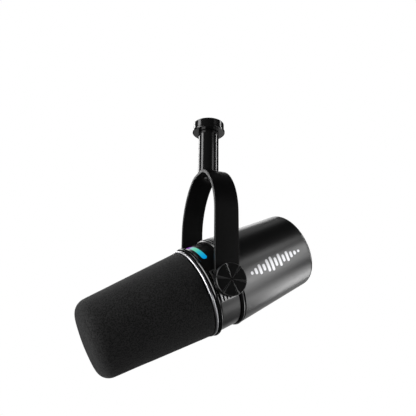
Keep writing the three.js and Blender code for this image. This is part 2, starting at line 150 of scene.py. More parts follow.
def lathe_arrays(pts, segs):
    """Vertices and faces of a revolved profile about z."""
    on_axis = abs(pts[0][0]) < 1e-9 and abs(pts[-1][0]) < 1e-9
    ang = np.arange(segs) * 2 * math.pi / segs
    ca, sa = np.cos(ang), np.sin(ang)
    verts, rings = [], []
    for r, z in pts:
        if abs(r) < 1e-9:
            rings.append([len(verts)])
            verts.append((0.0, 0.0, z))
        else:
            rings.append(list(range(len(verts), len(verts) + segs)))
            verts.extend(zip(r * sa, r * ca, np.full(segs, z)))
    faces = []
    n = len(pts)
    for i in range(n - 1 if on_axis else n):
        a, b = rings[i], rings[(i + 1) % n]
        if len(a) == 1 and len(b) == 1:
            continue
        for k in range(segs):
            k2 = (k + 1) % segs
            if len(a) == 1:
                faces.append((a[0], b[k], b[k2]))
            elif len(b) == 1:
                faces.append((a[k], b[0], a[k2]))
            else:
                faces.append((a[k], b[k], b[k2], a[k2]))
    return np.array(verts), faces


def lathe(name, points, segs=160, place=to_body, offset=(0, 0, 0), default=0.0, steps=4, turn=None, sharp=32.0):
    on_axis = abs(points[0][0]) < 1e-9 and abs(points[-1][0]) < 1e-9
    pts = fillet(points, not on_axis, default, steps)
    v, f = lathe_arrays(pts, segs)
    if turn is not None:
        v = turn(v)
    v = v + np.array(offset, float)
    return new_object(name, place(v), f, sharp=sharp)


def about_x(k):
    """Turns a shape drawn about z so that it is about x, with +z going to +x (k = 1) or -x (k = -1)."""
    if k > 0:
        return lambda v: np.stack([v[:, 2], v[:, 1], -v[:, 0]], axis=1)
    return lambda v: np.stack([-v[:, 2], v[:, 1], v[:, 0]], axis=1)


def loft(name, sections, place, cap=True, sharp=32.0):
    """A closed body through loops of equally many points, with its ends capped."""
    sec = np.asarray(sections, float)
    m, n = sec.shape[:2]
    verts = list(sec.reshape(-1, 3))
    faces = []
    for i in range(m - 1):
        for k in range(n):
            k2 = (k + 1) % n
            faces.append((i * n + k, (i + 1) * n + k, (i + 1) * n + k2, i * n + k2))
    if cap:
        for i in (0, m - 1):
            c = len(verts)
            verts.append(sec[i].mean(0))
            for k in range(n):
                faces.append((i * n + k, i * n + (k + 1) % n, c))
    return new_object(name, place(np.array(verts)), faces, sharp=sharp)


def box_mesh(name, lo, hi, place, bevel=0.15, segments=2):
    x0, y0, z0 = lo
    x1, y1, z1 = hi
    v = [(x0, y0, z0), (x1, y0, z0), (x1, y1, z0), (x0, y1, z0), (x0, y0, z1), (x1, y0, z1), (x1, y1, z1), (x0, y1, z1)]
    f = [(0, 3, 2, 1), (4, 5, 6, 7), (0, 1, 5, 4), (1, 2, 6, 5), (2, 3, 7, 6), (3, 0, 4, 7)]
    ob = new_object(name, place(np.array(v, float)), f)
    if bevel:
        add_bevel(ob, bevel, segments)
        apply_modifiers(ob)
        finish_shading(ob)
    return ob


def add_bevel(ob, width_mm, segments=2, angle=30):
    m = ob.modifiers.new("bevel", "BEVEL")
    m.width = width_mm * 0.001
    m.segments = segments
    m.limit_method = "ANGLE"
    m.angle_limit = math.radians(angle)
    m.harden_normals = False
    return m


def cut(ob, cutters, operation="DIFFERENCE"):
    for c in cutters:
        m = ob.modifiers.new("cut", "BOOLEAN")
        m.operation = operation
        m.solver = "EXACT"
        m.object = c
    apply_modifiers(ob)
    for c in cutters:
        me = c.data
        bpy.data.objects.remove(c)
        bpy.data.meshes.remove(me)
    finish_shading(ob)
    return ob


def join(name, parts):
    """Several closed bodies as one piece."""
    verts, faces, base = [], [], 0
    for p in parts:
        me = p.data
        co = np.zeros(len(me.vertices) * 3)
        me.vertices.foreach_get("co", co)
        verts.append(co.reshape(-1, 3))
        faces.extend(tuple(base + i for i in q.vertices) for q in me.polygons)
        base += len(me.vertices)
    keep = [p.data for p in parts]
    for p in parts:
        bpy.data.objects.remove(p)
    ob = bpy.data.objects.new(name, bpy.data.meshes.new(name))
    ob.data.from_pydata([tuple(v) for v in np.concatenate(verts)], [], faces)
    for me in keep:
        bpy.data.meshes.remove(me)
    SCENE.collection.objects.link(ob)
    finish_shading(ob)
    return ob


def tube(name, path, radius, place, sides=12, sharp=60.0):
    """A round wire along points, with rounded ends."""
    path = np.asarray(path, float)
    t = np.gradient(path, axis=0)
    t /= np.linalg.norm(t, axis=1)[:, None]
    ref = np.array([1.0, 0.0, 0.0]) if abs(t[0][0]) < 0.9 else np.array([0.0, 1.0, 0.0])
    n = np.cross(t[0], ref)
    n /= np.linalg.norm(n)
    secs = []
    w = np.arange(sides) * 2 * math.pi / sides
    for i in range(len(path)):
        n = n - t[i] * (n @ t[i])
        n /= np.linalg.norm(n)
        b = np.cross(t[i], n)
        secs.append(path[i] + radius * (np.cos(w)[:, None] * n + np.sin(w)[:, None] * b))
    first, last = secs[0], secs[-1]
    start = [path[0] - t[0] * radius * 0.7 + (first - path[0]) * 0.45]
    end = [path[-1] + t[-1] * radius * 0.7 + (last - path[-1]) * 0.45]
    return loft(name, start + secs + end, place, sharp=sharp)


# ------------------------------------------------------------------ materials
def node_mat(name):
    m = bpy.data.materials.new(name)
    m.use_nodes = True
    nt = m.node_tree
    bsdf = nt.nodes["Principled BSDF"]
    return m, nt, bsdf


def link(nt, a, b):
    nt.links.new(a, b)


def coords(nt, scale=1.0):
    tc = nt.nodes.new("ShaderNodeTexCoord")
    if scale == 1.0:
        return tc.outputs["Object"]
    mp = nt.nodes.new("ShaderNodeMapping")
    mp.inputs["Scale"].default_value = (scale, scale, scale)
    link(nt, tc.outputs["Object"], mp.inputs["Vector"])
    return mp.outputs["Vector"]


def noise_node(nt, vec, scale, detail=2.0, rough=0.5):
    n = nt.nodes.new("ShaderNodeTexNoise")
    n.inputs["Scale"].default_value = scale
    n.inputs["Detail"].default_value = detail
    n.inputs["Roughness"].default_value = rough
    link(nt, vec, n.inputs["Vector"])
    return n.outputs["Fac"]


def ramp(nt, fac, stops):
    r = nt.nodes.new("ShaderNodeValToRGB")
    e = r.color_ramp.elements
    while len(e) < len(stops):
        e.new(0.5)
    for el, (pos, col) in zip(e, stops):
        el.position = pos
        el.color = (*col, 1.0) if len(col) == 3 else col
    link(nt, fac, r.inputs["Fac"])
    return r.outputs["Color"]


def maprange(nt, fac, a, b, c, d):
    m = nt.nodes.new("ShaderNodeMapRange")
    for i, v in zip(("From Min", "From Max", "To Min", "To Max"), (a, b, c, d)):
        m.inputs[i].default_value = v
    link(nt, fac, m.inputs["Value"])
    return m.outputs["Result"]


def bump_chain(nt, bsdf, layers):
    """layers: (height socket, strength, distance in metres)."""
    normal = None
    for h, strength, dist in layers:
        b = nt.nodes.new("ShaderNodeBump")
        b.inputs["Strength"].default_value = strength
        b.inputs["Distance"].default_value = dist
        link(nt, h, b.inputs["Height"])
        if normal is not None:
            link(nt, normal, b.inputs["Normal"])
        normal = b.outputs["Normal"]
    link(nt, normal, bsdf.inputs["Normal"])


def grey(v, tint=(1.0, 1.0, 1.0)):
    return tuple(v * t for t in tint)


def coated(name, base, rough, metallic=0.0, spec=0.5, coat=0.0, coat_rough=0.15, var=0.25, grain=2600.0, grain_strength=0.12,
           grain_dist=0.00004, rough_var=0.06, tint=(1.0, 1.0, 1.0), edge=0.0, mottle=60.0):
    """A coated or moulded surface: fine grain, slow colour drift, roughness drift, and edges painted lighter by
    pointiness, partly wear and partly a painted edge highlight.
    """
    m, nt, b = node_mat(name)
    vec = coords(nt)
    fine = noise_node(nt, vec, grain, 2.0, 0.6)
    slow = noise_node(nt, vec, mottle, 3.0, 0.5)
    lo, hi = base * (1 - var), base * (1 + var)
    col = ramp(nt, slow, [(0.3, grey(lo, tint)), (0.7, grey(hi, tint))])
    # painted edge highlight, partly wear: base colour lighter where pointiness is high
    if edge > 0:
        geo = nt.nodes.new("ShaderNodeNewGeometry")
        e = maprange(nt, geo.outputs["Pointiness"], 0.505, 0.56, 0.0, edge)
        mix = nt.nodes.new("ShaderNodeMix")
        mix.data_type = "RGBA"
        link(nt, e, mix.inputs["Factor"])
        link(nt, col, mix.inputs["A"])
        mix.inputs["B"].default_value = (*grey(min(1.0, base * 5 + 0.03), tint), 1.0)
        col = mix.outputs["Result"]
    link(nt, col, b.inputs["Base Color"])
    rr = maprange(nt, noise_node(nt, vec, 220.0, 4.0, 0.6), 0.3, 0.7, rough - rough_var, rough + rough_var)
    link(nt, rr, b.inputs["Roughness"])
    b.inputs["Metallic"].default_value = metallic
    b.inputs["Specular IOR Level"].default_value = spec
    b.inputs["Coat Weight"].default_value = coat
    b.inputs["Coat Roughness"].default_value = coat_rough
    bump_chain(nt, b, [(fine, grain_strength, grain_dist)])
    return m


def metal(name, colour, rough, brushed=0.0, axis="z", var=0.08, bump=0.05, drift=0.06):
    """Bare or plated metal, with faint turning or brushing lines."""
    m, nt, b = node_mat(name)
    vec = coords(nt)
    slow = noise_node(nt, vec, 140.0, 3.0, 0.55)
    col = ramp(nt, slow, [(0.25, grey(1 - var, colour)), (0.75, grey(1 + var, colour))])
    link(nt, col, b.inputs["Base Color"])
    mp = nt.nodes.new("ShaderNodeMapping")
    s = {"z": (90.0, 90.0, 5200.0), "x": (5200.0, 90.0, 90.0), "y": (90.0, 5200.0, 90.0), "none": (900.0, 900.0, 900.0)}[axis]
    mp.inputs["Scale"].default_value = s
    link(nt, vec, mp.inputs["Vector"])
    lines = noise_node(nt, mp.outputs["Vector"], 1.0, 3.0, 0.6)
    rr = maprange(nt, lines, 0.3, 0.7, max(0.02, rough - drift), rough + drift + brushed * 0.1)
    link(nt, rr, b.inputs["Roughness"])
    b.inputs["Metallic"].default_value = 1.0
    bump_chain(nt, b, [(lines, bump, 0.00002)])
    return m


def painted_light_by_facing(name, axis, across, along, rough, spec_across, spec_along, lo=0.80, hi=0.97, grain=3000.0, grain_strength=0.1, var=0.12, rim=None):
    """A moulded or coated part whose colour and specular level change with facing: faces square to one axis get one
    tone and the others another, as painted light and shade.
    """
    m, nt, b = node_mat(name)
    tc = nt.nodes.new("ShaderNodeTexCoord")
    sep = nt.nodes.new("ShaderNodeSeparateXYZ")
    link(nt, tc.outputs["Normal"], sep.inputs["Vector"])
    absn = nt.nodes.new("ShaderNodeMath")
    absn.operation = "ABSOLUTE"
    link(nt, sep.outputs[axis], absn.inputs[0])
    mask = maprange(nt, absn.outputs[0], lo, hi, 0.0, 1.0)
    if rim is not None:
        # faces that stand along the axis, such as a knob's rim, are kept as dark as the flat face and get no painted
        # highlight
        edge_mask = maprange(nt, absn.outputs[0], rim, rim + 0.15, 1.0, 0.0)
        top = nt.nodes.new("ShaderNodeMath")
        top.operation = "MAXIMUM"
        link(nt, mask, top.inputs[0])
        link(nt, edge_mask, top.inputs[1])
        mask = top.outputs[0]
    vec = coords(nt)
    slow = noise_node(nt, vec, 60.0, 3.0, 0.5)
    cols = [ramp(nt, slow, [(0.3, grey(v * (1 - var))), (0.7, grey(v * (1 + var)))]) for v in (along, across)]
    # painted light and shade: base colour picked by which way the surface faces
    mix = nt.nodes.new("ShaderNodeMix")
    mix.data_type = "RGBA"
    link(nt, mask, mix.inputs["Factor"])
    link(nt, cols[0], mix.inputs["A"])
    link(nt, cols[1], mix.inputs["B"])
    link(nt, mix.outputs["Result"], b.inputs["Base Color"])
    link(nt, maprange(nt, mask, 0.0, 1.0, spec_along, spec_across), b.inputs["Specular IOR Level"])
    rr = maprange(nt, noise_node(nt, vec, 220.0, 4.0, 0.6), 0.3, 0.7, rough - 0.04, rough + 0.04)
    link(nt, rr, b.inputs["Roughness"])
    bump_chain(nt, b, [(noise_node(nt, vec, grain, 2.0, 0.6), grain_strength, 0.00004)])
    return m


def foam_material(name, dark, light):
    m, nt, b = node_mat(name)
    vec = coords(nt)
    v = nt.nodes.new("ShaderNodeTexVoronoi")
    v.inputs["Scale"].default_value = 1150.0
    link(nt, vec, v.inputs["Vector"])
    pores = maprange(nt, v.outputs["Distance"], 0.0, 0.65, 0.0, 1.0)
    fine = noise_node(nt, vec, 1900.0, 3.0, 0.7)
    add = nt.nodes.new("ShaderNodeMath")
    add.operation = "MULTIPLY"
    link(nt, pores, add.inputs[0])
    link(nt, fine, add.inputs[1])
    col = ramp(nt, add.outputs[0], [(0.10, grey(dark)), (0.36, grey((dark + light) / 2)), (0.62, grey(light))])
    slow = noise_node(nt, vec, 45.0, 3.0, 0.6)
    mix = nt.nodes.new("ShaderNodeMix")
    mix.data_type = "RGBA"
    mix.blend_type = "MULTIPLY"
    mix.inputs["Factor"].default_value = 1.0
    link(nt, col, mix.inputs["A"])
    link(nt, ramp(nt, slow, [(0.3, (0.86, 0.86, 0.87)), (0.7, (1.0, 1.0, 1.0))]), mix.inputs["B"])
    link(nt, mix.outputs["Result"], b.inputs["Base Color"])
    b.inputs["Roughness"].default_value = 0.95
    b.inputs["Specular IOR Level"].default_value = 0.18
    b.inputs["Sheen Weight"].default_value = 0.10
    b.inputs["Sheen Roughness"].default_value = 0.55
    bump_chain(nt, b, [(pores, 0.55, 0.00035), (fine, 0.5, 0.00022)])
    return m


def light_bar_material(name):
    """Lit diffuser whose colour runs across the bar, from magenta on the far side to blue on the near side."""
    m, nt, b = node_mat(name)
    tc = nt.nodes.new("ShaderNodeTexCoord")
    sep = nt.nodes.new("ShaderNodeSeparateXYZ")
    link(nt, tc.outputs["Object"], sep.inputs["Vector"])
    f = maprange(nt, sep.outputs["X"], -0.026, 0.026, 0.0, 1.0)
    stops = [(0.0, (0.05, 0.04, 0.52)), (0.25, (0.19, 0.02, 0.46)), (0.50, (0.26, 0.012, 0.40)), (0.635, (0.22, 0.015, 0.40)), (0.685, (0.32, 0.60, 0.62)),
             (0.78, (0.15, 0.64, 0.40)), (0.87, (0.025, 0.45, 0.54)), (0.95, (0.0, 0.31, 0.66)), (1.0, (0.0, 0.28, 0.71))]
    col = ramp(nt, f, stops)
    b.inputs["Base Color"].default_value = (0.008, 0.008, 0.009, 1.0)
    link(nt, col, b.inputs["Emission Color"])
    b.inputs["Emission Strength"].default_value = 1.0
    b.inputs["Roughness"].default_value = 0.45
    b.inputs["Specular IOR Level"].default_value = 0.02
    vec = coords(nt)
    n = noise_node(nt, vec, 1500.0, 2.0, 0.5)
    bump_chain(nt, b, [(n, 0.05, 0.00003)])
    return m


def board_material(name):
    m, nt, b = node_mat(name)
    vec = coords(nt)
    br = nt.nodes.new("ShaderNodeTexBrick")
    br.inputs["Scale"].default_value = 260.0
    br.inputs["Mortar Size"].default_value = 0.03
    br.inputs["Color1"].default_value = (0.010, 0.060, 0.030, 1)
    br.inputs["Color2"].default_value = (0.012, 0.075, 0.038, 1)
    br.inputs["Mortar"].default_value = (0.045, 0.20, 0.10, 1)
    link(nt, vec, br.inputs["Vector"])
    link(nt, br.outputs["Color"], b.inputs["Base Color"])
    b.inputs["Roughness"].default_value = 0.35
    n = noise_node(nt, vec, 900.0, 2.0, 0.5)
    bump_chain(nt, b, [(br.outputs["Fac"], 0.2, 0.00004), (n, 0.05, 0.00003)])
    return m


MAT = {
    "foam_black": foam_material("foam_black", 0.0028, 0.037),
    "satin_black": coated("satin_black", 0.0150, 0.30, spec=0.62, coat=0.0, var=0.06, grain=3800.0, grain_strength=0.02, grain_dist=0.00002, rough_var=0.015, mottle=35.0),
    "housing_satin": coated("housing_satin", 0.135, 0.31, metallic=1.0, var=0.02, grain=4200.0, grain_strength=0.010, grain_dist=0.00002, rough_var=0.010, mottle=30.0),
    "waist_satin": coated("waist_satin", 0.130, 0.30, metallic=1.0, var=0.03, grain=4200.0, grain_strength=0.012, grain_dist=0.00002, rough_var=0.012, mottle=30.0),
    "pad_satin": coated("pad_satin", 0.42, 0.40, metallic=1.0, var=0.05, grain=3600.0, grain_strength=0.03, grain_dist=0.00002, rough_var=0.02),
    "screw_dark": coated("screw_dark", 0.012, 0.50, spec=0.3, var=0.15, grain=3000.0, grain_strength=0.10),
    # knob: groove walls painted lighter than the flat face and rim, a painted highlight
    "knob_black": painted_light_by_facing("knob_black", "X", 0.0028, 0.070, 0.38, 0.12, 0.60, grain=2600.0, grain_strength=0.08, rim=0.25),
    # strap: faces towards ±Y painted lighter than the broad faces, a painted edge highlight
    "matte_black_strap": painted_light_by_facing("matte_black_strap", "Y", 0.0080, 0.0035, 0.44, 0.26, 0.16, lo=0.45, hi=0.85, grain=3200.0, grain_strength=0.12),
    "gloss_black": coated("gloss_black", 0.0080, 0.16, spec=0.70, var=0.06, grain=1500.0, grain_strength=0.004, grain_dist=0.00002, rough_var=0.008),
    "polished_trim": metal("polished_trim", (0.74, 0.74, 0.76), 0.42, axis="none", bump=0.003, drift=0.012, var=0.03),
    "plastic_black": coated("plastic_black", 0.0030, 0.42, spec=0.16, var=0.15, grain=2600.0, grain_strength=0.25, edge=0.08),
    "light_diffuser": light_bar_material("light_diffuser"),
    "steel_plain": metal("steel_plain", (0.60, 0.61, 0.62), 0.27, axis="none"),
    "steel_black": coated("steel_black", 0.030, 0.34, metallic=0.6, var=0.2, grain=2400.0, grain_strength=0.12, edge=0.2),
    "mesh_steel": metal("mesh_steel", (0.14, 0.14, 0.145), 0.34, axis="none", bump=0.06),
    "brass": metal("brass", (0.72, 0.53, 0.24), 0.24, axis="x"),
    "gold_contact": metal("gold_contact", (0.90, 0.66, 0.26), 0.18, axis="none"),
    "copper_wire": metal("copper_wire", (0.75, 0.36, 0.18), 0.28, axis="none", bump=0.3),
    "elastomer": coated("elastomer", 0.020, 0.75, spec=0.3, var=0.2, grain=1800.0, grain_strength=0.3),
    "film": coated("film", 0.50, 0.25, spec=0.5, var=0.05, grain=900.0, grain_strength=0.05, tint=(1.0, 0.93, 0.76)),
    "board_green": board_material("board_green"),
    "chip_black": coated("chip_black", 0.016, 0.42, var=0.2, grain=3000.0, grain_strength=0.2),
    "magnet_nickel": metal("magnet_nickel", (0.55, 0.55, 0.53), 0.2, axis="none"),
    "wire_red": coated("wire_red", 0.35, 0.42, var=0.1, tint=(1.0, 0.10, 0.08), grain=1200.0, grain_strength=0.1),
    "print_grey": metal("print_grey", (0.62, 0.62, 0.64), 0.34, axis="none", bump=0.004, drift=0.015, var=0.03),
}
NODE_SLOT = {s["node"]: s["material_slot"] for s in frame["record"]["subparts"]}


def piece(ob, body, node=None, slot=None, mat=None):
    slot = slot or NODE_SLOT[node]
    ob.data.materials.clear()
    ob.data.materials.append(MAT[mat or slot])
    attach(ob, body)
    if node:
        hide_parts(node)
    return ob


# ------------------------------------------------------------------ camera
def camera():
    az, el, roll = math.radians(68.886), math.radians(-17.636), math.radians(0.583)
    dist, f, cx, cy = 308.375, 435.859, 207.042, 287.160
    back = np.array([math.sin(az) * math.cos(el), -math.cos(az) * math.cos(el), math.sin(el)])
    right = np.cross(-back, [0, 0, 1])
    right /= np.linalg.norm(right)
    up = np.cross(right, -back)
    r = math.cos(roll) * right + math.sin(roll) * up
    u = -math.sin(roll) * right + math.cos(roll) * up
    c = back * dist - r * ((cx - 208) * dist / f) + u * ((cy - 208) * dist / f)
    cam = bpy.data.objects.new("camera", bpy.data.cameras.new("camera"))
    SCENE.collection.objects.link(cam)
    rot = Matrix(np.stack([r, u, back], axis=1).tolist()).to_4x4()
    cam.matrix_world = Matrix.Translation(Vector(to_pivot(c))) @ rot
    cam.data.sensor_width = 36.0
    cam.data.lens = f * 36.0 / 416.0
    cam.data.clip_start, cam.data.clip_end = 0.01, 50.0
    SCENE.camera = cam
    return cam


camera()

# ================================================================== stand collar, insert, stem
COLLAR_H, COLLAR_R, FLANGE_R, STEM_R, SOCKET_R = 7.8, 12.0, 12.7, 7.9, 7.94
piece(weighted(lathe("stand_collar_ring", [
    (9.64, 0.0, 0.25), (COLLAR_R, 0.0, 0.5), (COLLAR_R, -COLLAR_H + 2.1, 0.35), (FLANGE_R, -COLLAR_H + 1.55, 0.15),
    (FLANGE_R, -COLLAR_H + 0.45, 0.2), (FLANGE_R - 0.45, -COLLAR_H, 0.12), (STEM_R - 0.7, -COLLAR_H, 0.15),
    (STEM_R - 0.7, -COLLAR_H + 1.3), (9.64, -COLLAR_H + 1.3)], place=to_row)), "stand", "stand_collar")

# threaded insert: one helical groove on the inside, 27 threads to the inch
def threaded_ring(name, r_major, r_out, z0, z1, pitch, place, segs=96, depth=0.5):
    rows = int((z1 - z0) / pitch * 8) + 1
    zs = np.linspace(z0, z1, rows)
    ang = np.arange(segs) * 2 * math.pi / segs
    inner = []
    for z in zs:
        ph = (z / pitch - ang / (2 * math.pi)) % 1.0
        tri = 1 - np.abs(2 * ph - 1)
        end = np.clip(min(z - z0, z1 - z) / (0.5 * pitch), 0, 1)
        r = r_major - depth * np.clip(tri * 1.25 - 0.1, 0, 1) * end
        inner.append(np.stack([r * np.sin(ang), r * np.cos(ang), np.full(segs, z)], 1))
    outer = [np.stack([r_out * np.sin(ang), r_out * np.cos(ang), np.full(segs, z)], 1) for z in (z1, z0)]
    loops = inner + outer
    n = len(loops)
    verts = np.concatenate(loops)
    faces = []
    for i in range(n):
        j = (i + 1) % n
        for k in range(segs):
            k2 = (k + 1) % segs
            faces.append((i * segs + k, j * segs + k, j * segs + k2, i * segs + k2))
    return new_object(name, place(verts), faces, sharp=50)


piece(threaded_ring("thread_insert_sleeve", SOCKET_R, SOCKET_R + 1.38, -4.9, -0.1, 25.4 / 27, to_row), "stand", "thread_insert")
FOOT = -DROP + 86.3
piece(weighted(lathe("mount_stem_post", [
    (0, FOOT), (STEM_R, FOOT, 0.3), (STEM_R, -COLLAR_H - 0.3, 0.35), (STEM_R - 1.0, -COLLAR_H - 0.3, 0.1),
    (STEM_R - 1.0, -COLLAR_H + 1.6, 0.1), (9.2, -COLLAR_H + 1.6, 0.15), (9.2, -5.2, 0.15), (0, -5.2)], place=to_row)), "yoke", "mount_stem")

# ================================================================== yoke strap
YO, YT, YB, YS, YTOP, YCROWN, YP = 36.2, 3.0, 17.0, 46.8, 86.0, 87.2, 1.9


def yoke_path():
    """Outer line of the strap from the right foot over the arch to the left foot, with the distance along it."""
    n = 900
    t = np.linspace(0, math.pi / 2, n)
    x = YO * np.cos(t) ** (2 / YP)
    z = YS + (YCROWN - YS) * np.sin(t) ** (2 / YP)
    k = 1.6
    z = -np.log(np.exp(-k * (z - 80)) + np.exp(-k * (YTOP + 0.02 - 80))) / k + 80
    z = np.minimum(z, YTOP)
    z[0], x[-1] = YS, 0.0
    xs = np.concatenate([[YO], x])
    zs = np.concatenate([[-YB / 2], z])
    p = np.stack([xs, zs], 1)
    p = np.concatenate([p, p[::-1][1:] * [-1, 1]])
    d = np.concatenate([[0], np.cumsum(np.linalg.norm(np.diff(p, axis=0), axis=1))])
    return p, d


def yoke_strap():
    p, d = yoke_path()
    total = d[-1]
    half = YB / 2
    ends = half * (1 - np.cos(np.linspace(0.12, math.pi / 2, 14)))
    mid = np.linspace(half, total - half, 220)[1:-1]
    ls = np.concatenate([ends, mid, total - ends[::-1]])
    x = np.interp(ls, d, p[:, 0])
    z = np.interp(ls, d, p[:, 1])
    e = 0.6
    tx = np.interp(ls + e, d, p[:, 0]) - np.interp(ls - e, d, p[:, 0])
    tz = np.interp(ls + e, d, p[:, 1]) - np.interp(ls - e, d, p[:, 1])
    ln = np.hypot(tx, tz)
    tx, tz = tx / ln, tz / ln
    nx, nz = tz, -tx          # outward
    secs = []
    for i, l in enumerate(ls):
        m = min(l, total - l)
        w = half if m >= half else math.sqrt(max(half * half - (half - m) ** 2, 0.0))
        r = min(0.62, 0.42 * w)
        loop = []
        corners = [(w, 0.0, 0), (-w, 0.0, 1), (-w, -YT, 2), (w, -YT, 3)]
        for cx, cz, q in corners:
            sx = 1 if cx > 0 else -1
            sz = -1 if cz == 0.0 else 1
            ccx, ccz = cx - sx * r, cz + sz * r
            a0 = [0.0, math.pi / 2, math.pi, 3 * math.pi / 2][q]
            for s in range(4):
                a = a0 + (math.pi / 2) * s / 3
                loop.append((ccx + r * math.cos(a), ccz + r * math.sin(a)))
        # a middle point on each broad face keeps the quads regular
        loop = loop[:4] + [(0.0, 0.0)] + loop[4:12] + [(0.0, -YT)] + loop[12:]
        pts = [(x[i] + h * nx[i], yy, z[i] + h * nz[i]) for yy, h in loop]
        secs.append(pts)
    return loft("yoke_bracket_strap", secs, to_pivot, sharp=38)


strap = yoke_strap()
hole = lathe("c1", [(0, -60), (4.4, -60), (4.4, 60), (0, 60)], 64, to_pivot, turn=about_x(1))
top = lathe("c2", [(0, 80), (2.3, 80), (2.3, 90), (0, 90)], 48, to_pivot)
cut(strap, [hole, top])
piece(weighted(strap), "yoke", "yoke_bracket")

screw = lathe("yoke_screw_head", [
    (0, YTOP - YT - 1.9), (3.0, YTOP - YT - 1.9, 0.7), (3.4, YTOP - YT - 0.9, 0.3), (3.4, YTOP - YT - 0.3, 0.1),
    (2.0, YTOP - YT - 0.3), (2.0, YTOP), (0, YTOP)], 72, to_pivot)
hexcut = lathe("c3", [(0, YTOP - YT - 3), (1.55, YTOP - YT - 3), (1.55, YTOP - YT - 0.7), (0, YTOP - YT - 0.7)], 6, to_pivot)
cut(screw, [hexcut])
piece(screw, "yoke", "yoke_screw", mat="screw_dark")

# ================================================================== pivots and knobs
KNOB_R, KNOB_FACE = 10.5, 43.0
PAD_TOP = 30.6 + 1.3


def knob(name, k):
    """Knob with six radial grooves that widen and deepen towards the rim."""
    segs = 720
    back = YO + 1.4
    face = KNOB_FACE
    prof = [(0.0, face - 2.2), (4.9, face - 2.2, 0.1), (4.9, back, 0.2), (KNOB_R - 0.1, back, 0.6), (KNOB_R, face - 2.4)]
    low = fillet(prof, False)
    rim = [(KNOB_R, z) for z in np.linspace(face - 2.2, face - 0.9, 4)]
    arc = [(KNOB_R - 0.8 + 0.8 * math.cos(a), face - 0.8 + 0.8 * math.sin(a)) for a in np.linspace(0.15, math.pi / 2, 7)]
    flat = [(r, face) for r in np.linspace(KNOB_R - 1.0, 0.4, 34)]
    pts = low + rim + arc + flat + [(0.0, face)]
    n_low = len(low)
    v, f = lathe_arrays(pts, segs)
    rad = np.hypot(v[:, 0], v[:, 1])
    ang = np.arctan2(v[:, 0], v[:, 1])
    dmin = np.full(len(v), 1e9)
    for i in range(6):
        a = math.radians(60 * i + 29)
        ga = math.pi / 2 - a if k > 0 else a - math.pi / 2
        along = rad * np.cos(ang - ga)
        across = np.abs(rad * np.sin(ang - ga))
        dmin = np.where(along > 0, np.minimum(dmin, across), dmin)
    grow = np.clip((rad - 1.0) / (KNOB_R - 1.0), 0, 1)
    width = 0.16 + 0.85 * grow
    depth = 0.12 + 1.15 * grow
    notch = np.clip(1 - dmin / np.maximum(width, 1e-6), 0, 1) * depth
    notch = np.where(rad < 0.9, 0, notch)
    top = v[:, 2] > face - 2.45
    lower = np.minimum(v[:, 2], face - notch)
    v[:, 2] = np.where(top, np.maximum(lower, face - 2.35), v[:, 2])
    return new_object(name, to_body(about_x(k)(v)), f, sharp=24)


for side, k in (("right", 1), ("left", -1)):
    t = about_x(k)
    body_k, body_w = "knob_" + side, "washer_" + side
    inface = YO - YT
    piece(lathe(f"yoke_bushing_{side}_sleeve", [(3.2, inface + 0.1, 0.1), (4.1, inface + 0.1, 0.1), (4.1, YO - 0.1, 0.1), (3.2, YO - 0.1, 0.1)], 64, to_pivot, turn=t),
          "yoke", "yoke_bushing_" + side)
    piece(lathe(f"inner_washer_{side}_disc", [(3.4, PAD_TOP + 0.3, 0.1), (7.4, PAD_TOP + 0.3, 0.15), (7.4, inface - 0.3, 0.15), (3.4, inface - 0.3, 0.1)], 96, turn=t),
          "microphone", "inner_washer_" + side)
    piece(lathe(f"outer_washer_{side}_disc", [(3.2, YO + 0.3, 0.1), (7.6, YO + 0.3, 0.15), (7.6, YO + 1.1, 0.15), (3.2, YO + 1.1, 0.1)], 96, turn=t),
          body_w, "outer_washer_" + side)
    # stud with a rolled thread where the knob runs on it
    zs = np.arange(26.0, KNOB_FACE - 2.6 + 1e-6, 0.125)
    ang = np.arange(64) * 2 * math.pi / 64
    loops = []
    for z in zs:
        ph = ((z / 1.0) - ang / (2 * math.pi)) % 1.0
        tri = 1 - np.abs(2 * ph - 1)
        w = np.clip((z - 33.2) / 0.8, 0, 1) * np.clip((KNOB_FACE - 2.7 - z) / 0.5, 0.3, 1)
        r = 2.9 - 0.45 * (1 - tri) * w
        loops.append(np.stack([r * np.sin(ang), r * np.cos(ang), np.full(64, z)], 1))
    stud = loft(f"pivot_stud_{side}_rod", [t(l) for l in loops], to_body, sharp=50)
    piece(stud, "microphone", "pivot_stud_" + side)
    piece(threaded_ring(f"knob_insert_{side}_sleeve", 3.7, 4.6, YO + 1.5, KNOB_FACE - 2.6, 1.0, lambda v, t=t: to_body(t(v)), 64, 0.45),
          body_k, "knob_insert_" + side)
    piece(knob(f"knob_{side}_grip", k), body_k, "knob_" + side, mat="knob_black")

# ================================================================== foam windscreen
FR, FF, FRR, FRF, FC = 13.1, 90.2, 30.8, 25.9, 9.0


